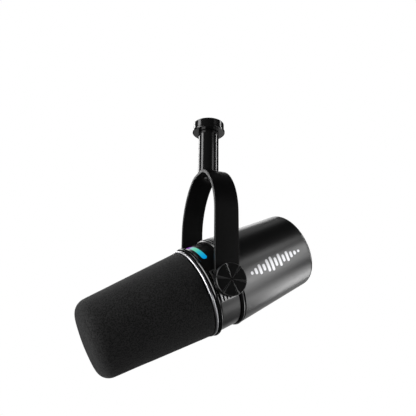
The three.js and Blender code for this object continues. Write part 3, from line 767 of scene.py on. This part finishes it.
def foam_profile():
    slope = (FRR - FRF) / (FF - FC - FR)
    outer = [(FRR - 0.9, FR), (FRR - 0.25, FR + 0.25), (FRR + 0.0, FR + 1.1)]
    for s in np.linspace(FR + 2.0, FF - FC - 1.5, 110):
        outer.append((FRR - slope * (s - FR), s))
    r1 = FRF + 0.02
    for a in np.linspace(0.03, math.pi / 2, 26):
        outer.append((r1 - FC + FC * math.cos(a), FF - 1.2 - FC + FC * math.sin(a)))
    r_in = r1 - FC
    for w in np.linspace(0.04, 1.0, 26):
        r = r_in * (1 - w)
        outer.append((max(r, 0.0), FF - 1.2 + 1.2 * (1 - (1 - w) ** 2)))
    inner = [(0.0, FF - 7.6)]
    ri, ci = FRF - 6.0, 5.0
    for w in np.linspace(0.1, 1.0, 8):
        inner.append(((ri - ci) * w, FF - 7.6 - 0.3 * w))
    for a in np.linspace(math.pi / 2, 0, 8)[1:]:
        inner.append((ri - ci + ci * math.cos(a), FF - 7.9 - ci + ci * math.sin(a)))
    for w in np.linspace(0, 1, 26)[1:]:
        inner.append((ri + (FRR - 6.0 - ri) * w, (FF - 12.9) + (FR + 0.8 - (FF - 12.9)) * w))
    inner.append((FRR - 5.5, FR))
    return outer, inner


def foam():
    outer, inner = foam_profile()
    pts = [(r if r > 1e-6 else 0.0, z) for r, z in inner + outer]
    v, f = lathe_arrays(pts, 288)
    out = []
    n_in = 1 + (len(inner) - 1) * 288
    for i, p in enumerate(v):
        r = math.hypot(p[0], p[1])
        q = Vector(p)
        if i < n_in:
            amp, low = 0.10, 0.0
        else:
            amp, low = 0.15, 0.22
        g = noise.noise(q * 1.45) * 0.6 + noise.noise(q * 3.1) * 0.4
        b = noise.noise(q * 0.06) * low
        fade = min(1.0, max(0.0, (p[2] - FR) / 1.5))
        d = (-abs(g) * amp * 1.2 + min(b, 0.0)) * fade
        nrm = Vector((p[0], p[1], 0.0))
        if r > 1e-6:
            nrm /= r
        if p[2] > FF - FC - 1.2 and i >= n_in:
            c = Vector((nrm.x * (FRF - FC), nrm.y * (FRF - FC), FF - 1.2 - FC)) if r > FRF - FC else Vector((p[0], p[1], FF - 30))
            nrm = (q - c).normalized()
        s = 1.0 if i >= n_in else -1.0
        out.append(tuple(q + nrm * d * s))
    return new_object("foam_windscreen_cover", to_body(np.array(out)), f, sharp=None)


fw = foam()
piece(fw, "windscreen", "foam_windscreen")

# ================================================================== mesh basket
def basket():
    rr, rf, zf, ci, wire = 24.1 - 0.5, 19.2 - 0.5, FF - 7.9 - 0.3 - 0.5, 5.0, 0.42
    z0 = 13.3
    rows = []
    for z in np.arange(z0 + 1.6, zf - ci, 1.15):
        w = (z - z0) / (zf - ci - z0)
        rows.append((rr + (rf - rr) * w, z))
    arc = [(rf - ci + ci * math.cos(a), zf - ci + ci * math.sin(a)) for a in np.linspace(0.0, math.pi / 2 - 0.35, 7)]
    rows += arc
    n = 84
    verts = []
    for i, (r, z) in enumerate(rows):
        for k in range(n):
            a = (k + 0.5 * (i % 2)) * 2 * math.pi / n
            verts.append((r * math.sin(a), r * math.cos(a), z))
    faces = []
    for i in range(0, len(rows) - 2):
        for k in range(n):
            if i % 2 == 0:
                a, l, r_, t = i * n + k, (i + 1) * n + (k - 1) % n, (i + 1) * n + k, (i + 2) * n + k
            else:
                a, l, r_, t = i * n + k, (i + 1) * n + k, (i + 1) * n + (k + 1) % n, (i + 2) * n + k
            faces.append((a, r_, t, l))
    side = new_object("b_side", to_body(np.array(verts)), faces, sharp=None)
    # front: square mesh turned 45 degrees, trimmed by a rim
    rc = arc[-1][0] + 0.1
    zc = arc[-1][1] + 0.45
    step = 1.35
    g = {}
    vv, ff = [], []
    m = int(rc / step) + 3
    for i in range(-m, m + 1):
        for j in range(-m, m + 1):
            x, y = (i + j) * step * 0.5 * 1.42, (i - j) * step * 0.5 * 1.42
            d = math.hypot(x, y)
            if d > rc + step:
                continue
            if d > rc:
                x, y = x * rc / d, y * rc / d
                d = rc
            g[(i, j)] = len(vv)
            vv.append((x, y, zc + 0.9 * (1 - (d / rc) ** 2)))
    for (i, j), a in g.items():
        q = [(i, j), (i + 1, j), (i + 1, j + 1), (i, j + 1)]
        if all(c in g for c in q):
            ids = [g[c] for c in q]
            pts = [vv[c] for c in ids]
            if sum(math.hypot(p[0], p[1]) < rc - 0.05 for p in pts) >= 2:
                ff.append(tuple(ids))
    front = new_object("b_front", to_body(np.array(vv)), ff, sharp=None)
    parts = []
    for ob in (side, front):
        w = ob.modifiers.new("wire", "WIREFRAME")
        w.thickness = wire * 0.001
        w.use_even_offset = False
        w.use_replace = True
        w.offset = 0.0
        apply_modifiers(ob)
        parts.append(ob)
    parts.append(lathe("b_base", [(rr - 0.7, z0, 0.15), (rr + 0.5, z0, 0.15), (rr + 0.45, z0 + 3.0, 0.15), (rr - 0.7, z0 + 3.0, 0.15)], 128))
    parts.append(lathe("b_rim", [(rc - 0.9, zc - 0.5, 0.3), (rc + 0.7, zc - 0.75, 0.3), (rc + 0.3, zc + 0.42, 0.35), (rc - 0.9, zc + 0.55, 0.3)], 128))
    ob = join("grille_basket_mesh", parts)
    finish_shading(ob, True, 45)
    return ob


piece(basket(), "microphone", "grille_basket")
pf = lathe("pop_filter_disc", [(0, 66.5), (17.6, 66.5, 1.2), (17.6, 72.5, 1.2), (0, 72.5)], 128, sharp=None)
piece(pf, "microphone", "pop_filter")

# ================================================================== front rings, waist, light bar, pads
LIPF, LIPR, RR_, WR = 12.6, 10.7, 7.2, 30.6
piece(weighted(lathe("front_trim_ring_lip", [
    (24.6, LIPR, 0.2), (31.0, LIPR, 0.3), (31.4, LIPR + 0.5, 0.3), (31.4, LIPF - 0.55, 0.35), (30.95, LIPF, 0.3), (24.6, LIPF, 0.2)], 256)),
    "microphone", "front_trim_ring")
piece(weighted(lathe("front_bezel_ridge", [
    (24.6, RR_ + 0.3, 0.2), (31.0, RR_ + 0.3, 0.15), (32.0, RR_ + 0.9, 0.7), (32.3, RR_ + 1.55, 0.5), (32.0, RR_ + 2.3, 0.6), (31.2, RR_ + 2.8, 0.3),
    (30.3, RR_ + 2.9, 0.12), (30.3, LIPR - 0.3, 0.1), (24.6, LIPR - 0.3, 0.2)], 256)), "microphone", "front_bezel")

BARC, BARW, BARH = 2.7, 3.4, 52.5


def bar_sections(r0, r1, crown, grow, n=150, dome=True):
    """Closed loops across a pill-shaped strip that lies on the cylinder, from one end to the other."""
    h = BARW / 2 + grow
    end = math.degrees((BARW / 2) / WR)
    lim = BARH + math.degrees(grow / WR)
    inner = lim - math.degrees(h / WR)
    e = inner + (lim - inner) * np.sin(np.linspace(0, math.pi / 2 - 0.06, 14))
    mid = np.linspace(-inner, inner, n)
    angs = np.concatenate([-e[::-1], mid[1:-1], e])
    secs = []
    for a in angs:
        over = max(abs(a) - inner, 0) / (lim - inner)
        w = h * math.sqrt(max(1 - over * over, 0.0))
        ar = math.radians(a)
        loop = []
        top = 9
        for i in range(top):
            u = -1 + 2 * i / (top - 1)
            z = BARC + u * w
            edge = 1 - (abs(u) ** 4) if dome else 1.0
            rr = r1 + crown * edge * min(1.0, w / h)
            loop.append((rr * math.sin(ar), rr * math.cos(ar), z))
        for i in range(top):
            u = 1 - 2 * i / (top - 1)
            loop.append((r0 * math.sin(ar), r0 * math.cos(ar), BARC + u * w))
        secs.append(loop)
    return secs


waist = lathe("waist_barrel_shell", [
    (28.4, -RR_, 0.1), (WR - 0.25, -RR_, 0.12), (WR, -RR_ + 0.35, 0.2), (WR, RR_ - 0.35, 0.2), (WR - 0.25, RR_, 0.12), (28.4, RR_, 0.1)], 288)
slotc = loft("c4", bar_sections(27.0, 33.5, 0.0, 0.22, dome=False), to_body)
studc = lathe("c5", [(0, -40), (3.2, -40), (3.2, 40), (0, 40)], 64, turn=about_x(1))
cut(waist, [slotc, studc])
piece(weighted(waist), "microphone", "waist_barrel", mat="waist_satin")
bar = loft("light_bar_diffuser", bar_sections(29.0, WR - 0.12, 0.32, 0.0), to_body, sharp=50)
piece(bar, "microphone", "light_bar")


def bent_plate(name, r0, r1, z0, z1, a0, a1, steps=48, bevel=0.0, place=to_body):
    secs = []
    for a in np.linspace(a0, a1, steps):
        s, c = math.sin(math.radians(a)), math.cos(math.radians(a))
        b = bevel
        loop = [(r0, z0), (r1 - b, z0), (r1 - b * 0.3, z0 + b * 0.3), (r1, z0 + b), (r1, z1 - b), (r1 - b * 0.3, z1 - b * 0.3), (r1 - b, z1), (r0, z1)]
        secs.append([(r * s, r * c, z) for r, z in loop])
    return loft(name, secs, place)


piece(bent_plate("led_board_strip", 27.0, 27.9, BARC - 4, BARC + 4, -50, 50, 60, 0.05), "microphone", "led_board")


def side_pad(name, k):
    """Framed pad with five louvre slots, drawn flat and then wrapped on the barrel."""
    r_in, r_out = WR + 0.3, PAD_TOP
    span = math.radians(20.1) * r_out
    shift = math.radians(1.6)
    hl = 6.6
    ob = box_mesh("p0", (-span, -hl, 0), (span, hl, r_out - r_in), lambda v: v * 0.001, bevel=0)
    cutters = []
    for i in range(5):
        z = -4.8 + i * 2.4
        s = span - math.radians(1.5) * r_out
        c = box_mesh("pc", (-s, z - 0.55, -1), (s, z + 0.55, 3), lambda v: v * 0.001, bevel=0)
        cutters.append(c)
    cutters.append(lathe("pc2", [(0, -2), (3.3, -2), (3.3, 4), (0, 4)], 48, lambda v: v * 0.001, offset=(-k * shift * r_out, 0, 0)))
    cut(ob, cutters)
    add_bevel(ob, 0.16, 2)
    apply_modifiers(ob)
    bm = bmesh.new()
    bm.from_mesh(ob.data)
    bmesh.ops.triangulate(bm, faces=bm.faces)
    for x in np.linspace(-span, span, 40)[1:-1]:
        bmesh.ops.bisect_plane(bm, geom=bm.verts[:] + bm.edges[:] + bm.faces[:], plane_co=(x * 0.001, 0, 0), plane_no=(1, 0, 0), dist=1e-7)
    for v in bm.verts:
        u, w, h = v.co * 1000
        a = u / r_out + k * (math.pi / 2 + shift)
        r = r_in + h
        p = to_body(np.array([[r * math.sin(a), r * math.cos(a), w]]))[0]
        v.co = Vector(p)
    bmesh.ops.recalc_face_normals(bm, faces=bm.faces)
    bm.to_mesh(ob.data)
    bm.free()
    ob.name = name
    finish_shading(ob, True, 30)
    return ob


for side, k in (("right", 1), ("left", -1)):
    piece(side_pad(f"side_pad_{side}_louvre", k), "microphone", "side_pad_" + side, mat="pad_satin")

# ================================================================== rear ring, housing, plate
BF, BR_, BRAD = -7.8, -10.3, 32.2
piece(weighted(lathe("rear_ring_bead", [
    (26.0, BF + 0.2, 0.2), (31.2, BF + 0.2, 0.15), (31.9, BF - 0.5, 0.5), (BRAD, BF - 1.2, 0.5), (31.95, BR_ + 0.55, 0.5), (31.3, BR_, 0.2), (26.0, BR_, 0.2)], 256)),
    "microphone", "rear_ring", mat="housing_satin")
RF, RE, REND, RC = 31.8, 28.4, -75.4, 3.6
CONE = (RF - RE) / ((BR_ - 0.65) - (REND + RC))
corner = [(RE - RC + RC * math.cos(a), REND + RC - RC * math.sin(a)) for a in np.linspace(math.radians(3.2), math.pi / 2, 15)]
piece(weighted(lathe("rear_housing_shell", [(RF - 0.25, BR_ - 0.3, 0.1), (RF, BR_ - 0.65, 0.2)] + corner + [
    (23.0, REND, 0.5), (23.0, REND + 2.0, 0.2), (25.6, REND + 5.0, 1.0), (RF - 2.0, BR_ - 0.3, 0.1)], 288, steps=8)), "microphone", "rear_housing", mat="housing_satin")

PZ0, PZ1 = REND + 0.9, REND + 3.1
plate = lathe("rear_plate_panel", [(0, PZ0), (22.7, PZ0, 0.3), (22.7, PZ1, 0.2), (0, PZ1)], 192)
SCREWS = [(-14.5, 8.5), (17.5, -6.5), (-17.5, -6.5)]


def obround(name, w, h, z0, z1, place=to_body, y=12.5, n=20):
    r, a = h / 2, w / 2 - h / 2
    loop = [(a + r * math.cos(t), y + r * math.sin(t)) for t in np.linspace(-math.pi / 2, math.pi / 2, n)]
    loop += [(-a + r * math.cos(t), y + r * math.sin(t)) for t in np.linspace(math.pi / 2, 3 * math.pi / 2, n)]
    return loft(name, [[(x, yy, z) for x, yy in loop] for z in (z0, z1)], place)


cutters = [lathe("c6", [(0, PZ0 - 2), (10.4, PZ0 - 2), (10.4, PZ1 + 2), (0, PZ1 + 2)], 96, offset=(0, -8, 0)),
           obround("c7", 9.8, 3.8, PZ0 - 2, PZ1 + 2),
           lathe("c8", [(0, PZ0 - 2), (3.6, PZ0 - 2), (3.6, PZ1 + 2), (0, PZ1 + 2)], 64, offset=(13.0, 9.0, 0))]
for x, y in SCREWS:
    cutters.append(lathe("c9", [(0, PZ0 - 2), (1.7, PZ0 - 2), (1.7, PZ1 + 2), (0, PZ1 + 2)], 40, offset=(x, y, 0)))
cut(plate, cutters)
add_bevel(plate, 0.18, 2, 40)
apply_modifiers(plate)
finish_shading(plate, True, 30)
piece(plate, "microphone", "rear_plate")
for i, (x, y) in enumerate(SCREWS):
    s = lathe(f"rear_screw_{i + 1}_head", [(0, PZ0 - 0.8), (2.1, PZ0 - 0.8, 0.3), (2.4, PZ0 - 0.45, 0.15), (2.4, PZ0 - 0.3, 0.05), (1.4, PZ0 - 0.3), (1.4, PZ1 + 4, 0.3), (0, PZ1 + 4)], 64, offset=(x, y, 0))
    lobes = []
    for a in (0, 60, 120):
        ca, sa = math.cos(math.radians(a + 7.3 * i + 4)), math.sin(math.radians(a + 7.3 * i + 4))
        def turn(v, ca=ca, sa=sa, x=x, y=y):
            return to_body(np.stack([x + v[:, 0] * ca - v[:, 1] * sa, y + v[:, 0] * sa + v[:, 1] * ca, v[:, 2]], 1))
        lobes.append(box_mesh("c10", (-1.15, -0.26, PZ0 - 2), (1.15, 0.26, PZ0 - 0.15), turn, bevel=0))
    cut(s, lobes)
    piece(s, "microphone", f"rear_screw_{i + 1}")
shell = lathe("xlr_shell_well", [(8.7, PZ0 - 0.3, 0.2), (10.1, PZ0 - 0.3, 0.25), (10.1, PZ0 + 15, 0.2), (8.7, PZ0 + 15, 0.1)], 128, offset=(0, -8, 0))
piece(weighted(shell), "microphone", "xlr_shell")
PINS = [(-3.35, -6.8), (3.35, -6.8), (0, -11.7)]
ins = lathe("xlr_insulator_block", [(0, PZ0 + 10.2), (8.4, PZ0 + 10.2, 0.3), (8.4, PZ0 + 14.5, 0.2), (0, PZ0 + 14.5)], 96, offset=(0, -8, 0))
cut(ins, [lathe("c12", [(0, PZ0 + 5), (1.5, PZ0 + 5), (1.5, PZ0 + 20), (0, PZ0 + 20)], 40, offset=(x, y, 0)) for x, y in PINS])
piece(ins, "microphone", "xlr_insulator")
for i, (x, y) in enumerate(PINS):
    piece(lathe(f"xlr_pin_{i + 1}_contact", [(0, PZ0 + 1.0), (1.15, PZ0 + 1.0, 0.75), (1.15, PZ0 + 16, 0.1), (0, PZ0 + 16)], 40, offset=(x, y, 0), steps=8),
          "microphone", f"xlr_pin_{i + 1}")
usb = obround("usb_c_port_shell", 8.94, 3.26, PZ0 + 0.3, PZ0 + 7.6)
cut(usb, [obround("c13", 8.3, 2.6, PZ0 - 1, PZ0 + 6.6)])
tongue = box_mesh("c14", (-3.3, 12.5 - 0.35, PZ0 + 1.2), (3.3, 12.5 + 0.35, PZ0 + 6.7), to_body, bevel=0.12)
usb = join("usb_c_port_socket", [usb, tongue])
piece(usb, "microphone", "usb_c_port")
piece(lathe("headphone_jack_socket", [(1.8, PZ0 - 0.2, 0.25), (3.3, PZ0 - 0.2, 0.3), (3.3, PZ0 + 12, 0.2), (0, PZ0 + 12), (0, PZ0 + 11), (1.8, PZ0 + 11)], 72, offset=(13.0, 9.0, 0)),
      "microphone", "headphone_jack")

# ================================================================== inside
parts = [box_mesh("mb", (-20, 3.2, -62), (20, 4.8, -16), to_body, 0.12)]
for (x0, x1, z0, z1, h) in [(-16, -10, -28, -20, 1.6), (8, 15, -27, -19, 2.2), (-17, -12, -52, -46, 3.0), (10, 16, -54, -44, 2.4), (-8, -6, -24, -21, 1.0),
                           (2, 4, -24, -21, 1.0), (-4, 4, -58, -52, 1.8), (-8.5, -6.5, -46, -43, 1.0), (6.5, 8.5, -40, -37, 1.0)]:
    parts.append(box_mesh("mc", (x0, 4.85, z0), (x1, 4.85 + h, z1), to_body, 0.15))
piece(join("main_board_assembly", parts), "microphone", "main_board")
piece(box_mesh("audio_chip_package", (-5, 5.1, -40), (5, 6.3, -30), to_body, 0.25), "microphone", "audio_chip")
piece(lathe("capsule_carrier_cone", [(13.0, 15.0, 0.3), (13.0, 36.0, 0.3), (14.6, 36.0, 0.3), (14.6, 16.6, 1.0), (24.2, 8.0, 0.3), (24.2, 4.6, 0.3), (21.0, 4.6, 0.3), (19.5, 7.0, 0.6)], 144),
      "microphone", "capsule_carrier")
piece(lathe("shock_mount_rear_ring", [(11.4, 27, 0.4), (12.7, 27, 0.4), (12.7, 31, 0.4), (11.4, 31, 0.4)], 96), "microphone", "shock_mount_rear")
piece(lathe("shock_mount_front_ring", [(14.9, 31, 0.6), (17.4, 31, 0.6), (17.4, 35, 0.6), (14.9, 35, 0.6)], 96), "microphone", "shock_mount_front")
piece(lathe("capsule_housing_can", [(0, 24), (9.6, 24, 0.4), (11.1, 25.5, 0.6), (11.1, 37.5, 0.6), (16.0, 42.0, 0.8), (16.0, 57.0, 0.4), (14.6, 57.0, 0.3), (14.6, 42.8, 0.4),
                                    (9.6, 38.4, 0.4), (9.6, 26, 0.3), (0, 26)], 144), "microphone", "capsule_housing")
piece(lathe("capsule_magnet_slug", [(0, 40.5), (7.5, 40.5, 0.4), (7.5, 48, 0.4), (0, 48)], 96), "microphone", "capsule_magnet")
piece(lathe("capsule_pole_plate_ring", [(9.0, 46, 0.2), (14.2, 46, 0.2), (14.2, 49, 0.2), (9.0, 49, 0.2)], 96), "microphone", "capsule_pole_plate")
ribs = []
for i in range(12):
    z = 46.6 + 4.3 * i / 11
    ribs += [(8.56, z - 0.13), (8.6, z)]
piece(lathe("capsule_voice_coil_winding", [(7.9, 46.5), (8.5, 46.5)] + ribs + [(8.5, 51.0), (7.9, 51.0)], 96), "microphone", "capsule_voice_coil")
dia_top, dia_bot = [], []
for r in np.linspace(0, 14.2, 60):
    if r < 7.9:
        z = 54.1 - 2.8 * (r / 7.9) ** 2
    else:
        u = (r - 7.9) / 6.3
        z = 51.3 + 1.0 * math.sin(math.pi * u) + 0.12 * math.sin(10 * math.pi * u) * math.sin(math.pi * u) + 0.2 * u
    dia_top.append((r, z + 0.35))
    dia_bot.append((r, z + 0.1))
piece(lathe("capsule_diaphragm_dome", dia_top + dia_bot[::-1], 96, sharp=None), "microphone", "capsule_diaphragm")
grid = lathe("capsule_grid_plate", [(0, 57.3), (15.8, 57.3, 0.3), (15.8, 58.5, 0.3), (0, 58.5)], 144)
holes = [lathe("c15", [(0, 55), (2.2, 55), (2.2, 60), (0, 60)], 36, offset=(9 * math.cos(math.radians(60 * i)), 9 * math.sin(math.radians(60 * i)), 0)) for i in range(6)]
holes.append(lathe("c16", [(0, 55), (2.6, 55), (2.6, 60), (0, 60)], 36))
cut(grid, holes)
piece(grid, "microphone", "capsule_grid")


def catmull(points, n):
    p = np.array(points, float)
    p = np.concatenate([[2 * p[0] - p[1]], p, [2 * p[-1] - p[-2]]])
    out = []
    for i in range(1, len(p) - 2):
        for t in np.linspace(0, 1, n, endpoint=False):
            a, b, c, d = p[i - 1:i + 3]
            out.append(0.5 * (2 * b + (c - a) * t + (2 * a - 5 * b + 4 * c - d) * t * t + (3 * b - a - 3 * c + d) * t ** 3))
    out.append(p[-2])
    return np.array(out)


route = catmull([(0, 0, 23.6), (0, 0, 18), (1.5, -1.5, 8), (-1.5, -0.5, -2), (0, 3.2, -10), (0, 4.0, -15.6)], 16)
wires = []
for j in range(3):
    tt = np.gradient(route, axis=0)
    tt /= np.linalg.norm(tt, axis=1)[:, None]
    nn = np.cross(tt, [0, 1, 0])
    nn /= np.linalg.norm(nn, axis=1)[:, None]
    bb = np.cross(tt, nn)
    ph = np.arange(len(route)) * 0.42 + j * 2 * math.pi / 3
    wires.append(tube("w", route + 0.36 * (np.cos(ph)[:, None] * nn + np.sin(ph)[:, None] * bb), 0.32, to_body, 10))
piece(join("capsule_lead_wires", wires), "microphone", "capsule_lead")

# ================================================================== plain printed graphic on the housing
def print_mark():
    """A row of upright level bars, a generic sound graphic with no lettering, printed on the right side."""
    heights = [0.22, 0.42, 0.68, 0.46, 0.86, 1.0, 0.62, 0.9, 0.52, 0.74, 0.44, 0.3, 0.2]
    parts = []
    s0, s1 = -21.0, -63.5
    mid = 95.0
    for i, h in enumerate(heights):
        s = s0 + (s1 - s0) * i / (len(heights) - 1)
        half_a = math.degrees(5.0 * h / 30.0)
        sl = CONE
        rr = RF + sl * (s - (BR_ - 0.65)) + 0.02
        w = 1.05
        secs = []
        lim = half_a
        cap = math.degrees(w / rr)
        inner = max(lim - cap, 0.05)
        e = inner + (lim - inner) * np.sin(np.linspace(0, math.pi / 2 - 0.1, 7))
        for a in np.concatenate([-e[::-1], np.linspace(-inner, inner, 14)[1:-1], e]):
            over = max(abs(a) - inner, 0) / max(lim - inner, 1e-6)
            ww = w * math.sqrt(max(1 - over * over, 0.0))
            ar = math.radians(mid + a)
            loop = []
            for (u, h2) in ((-1, 0.035), (0, 0.035), (1, 0.035), (1, -0.05), (0, -0.05), (-1, -0.05)):
                z = s + u * ww
                r = rr + sl * (z - s) + h2
                loop.append((r * math.sin(ar), r * math.cos(ar), z))
            secs.append(loop)
        parts.append(loft("pm", secs, to_body))
    return join("housing_level_graphic", parts)


pm = print_mark()
pm.data.materials.clear()
pm.data.materials.append(MAT["print_grey"])
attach(pm, "microphone")

# ------------------------------------------------------------------ floor, light
def floor():
    """A plain pale floor well under the part."""
    n, r, z = 128, 1.25, -0.52
    verts = [(0, 0, z)] + [(r * math.cos(2 * math.pi * k / n), r * math.sin(2 * math.pi * k / n), z) for k in range(n)]
    me = bpy.data.meshes.new("floor")
    me.from_pydata(verts, [], [(0, 1 + k, 1 + (k + 1) % n) for k in range(n)])
    ob = bpy.data.objects.new("floor", me)
    SCENE.collection.objects.link(ob)
    m, nt, b = node_mat("floor_pale")
    n_ = noise_node(nt, coords(nt), 3.0, 2.0, 0.5)
    col = ramp(nt, n_, [(0.3, (0.86, 0.86, 0.86)), (0.7, (0.90, 0.90, 0.90))])
    link(nt, col, b.inputs["Base Color"])
    link(nt, col, b.inputs["Emission Color"])
    b.inputs["Emission Strength"].default_value = 0.72
    b.inputs["Roughness"].default_value = 0.9
    ob.data.materials.append(m)
    ob.visible_glossy = False
    ob.visible_diffuse = False


floor()


def softbox(name, direction, dist, size, power, target=(0, 0.0, -0.115), size_y=None, colour=(1, 1, 1)):
    d = Vector(direction).normalized()
    li = bpy.data.lights.new(name, "AREA")
    li.shape = "RECTANGLE"
    li.size = size
    li.size_y = size_y or size
    li.energy = power
    li.color = colour
    ob = bpy.data.objects.new(name, li)
    SCENE.collection.objects.link(ob)
    ob.location = Vector(target) + d * dist
    ob.rotation_mode = "QUATERNION"
    ob.rotation_quaternion = d.to_track_quat("Z", "Y")
    ob.visible_camera = False
    return ob


CENTRE = (0.0, 0.0, -0.115)
REAR = (0.02, 0.055, -0.115)
LIGHTS = {
    # name: direction, distance, width, height, watts, target
    "right_high": ((0.75, 0.35, 0.53), 0.45, 0.11, 0.09, 0.043, REAR),
    "right_high_far": ((0.75, 0.35, 0.53), 1.0, 0.30, 0.26, 0.047, REAR),
    "right_rear": ((0.74, 0.66, 0.08), 1.0, 0.34, 0.50, 1.332, CENTRE),
    "rear_right_low": ((0.66, 0.70, -0.28), 1.0, 0.40, 0.40, 0.829, CENTRE),
    "rear_low": ((0.25, 0.82, -0.52), 1.0, 0.40, 0.40, 0.506, CENTRE),
    "rear_low_far": ((-0.15, 0.80, -0.58), 1.0, 0.40, 0.40, 0.109, CENTRE),
    "rear_spot": ((0.05, 0.88, -0.46), 0.42, 0.16, 0.12, 0.092, (0.02, 0.075, -0.115)),
    "rear_spot_far": ((-0.22, 0.86, -0.46), 0.42, 0.16, 0.12, 0.199, (0.02, 0.075, -0.115)),
    "top_far": ((-0.76, 0.19, 0.62), 1.0, 0.45, 0.40, 1.172, CENTRE),
    "top": ((-0.30, 0.15, 0.94), 1.0, 0.35, 0.35, 0.132, CENTRE),
    "front_strip": ((-0.10, -0.89, 0.44), 1.0, 0.34, 0.50, 2.200, CENTRE),
    "rear_strip": ((0.147, 0.941, 0.303), 1.0, 0.10, 0.80, 2.126, CENTRE),
    "front_low": ((0.10, -0.95, -0.30), 1.0, 0.80, 0.80, 14.651, CENTRE),
    "crown_edge": ((-0.83, -0.35, 0.42), 1.0, 0.25, 0.25, 1.300, (0, 0, -0.04)),
    "under_collar": ((-0.80, 0.35, -0.48), 1.0, 0.30, 0.30, 0.100, (0, 0, -0.01)),
    "low_grazing": ((-0.70, 0.64, -0.30), 1.0, 0.60, 0.45, 0.340, CENTRE),
}
for nm, (direction, dist, w, h, power, aim) in LIGHTS.items():
    softbox(nm, direction, dist, w, power, target=aim, size_y=h)

world = bpy.data.worlds.new("world")
SCENE.world = world
world.use_nodes = True
wn = world.node_tree
bg = wn.nodes["Background"]
lp = wn.nodes.new("ShaderNodeLightPath")
mixw = wn.nodes.new("ShaderNodeMix")
mixw.data_type = "RGBA"
wn.links.new(lp.outputs["Is Camera Ray"], mixw.inputs["Factor"])
mixw.inputs["A"].default_value = (0.0214, 0.0214, 0.0218, 1)
mixw.inputs["B"].default_value = (1.0, 1.0, 1.0, 1)
wn.links.new(mixw.outputs["Result"], bg.inputs["Color"])
SCENE.view_settings.view_transform = "Standard"
SCENE.view_settings.look = "None"
SCENE.view_settings.exposure = 0.0
SCENE.view_settings.gamma = 1.0
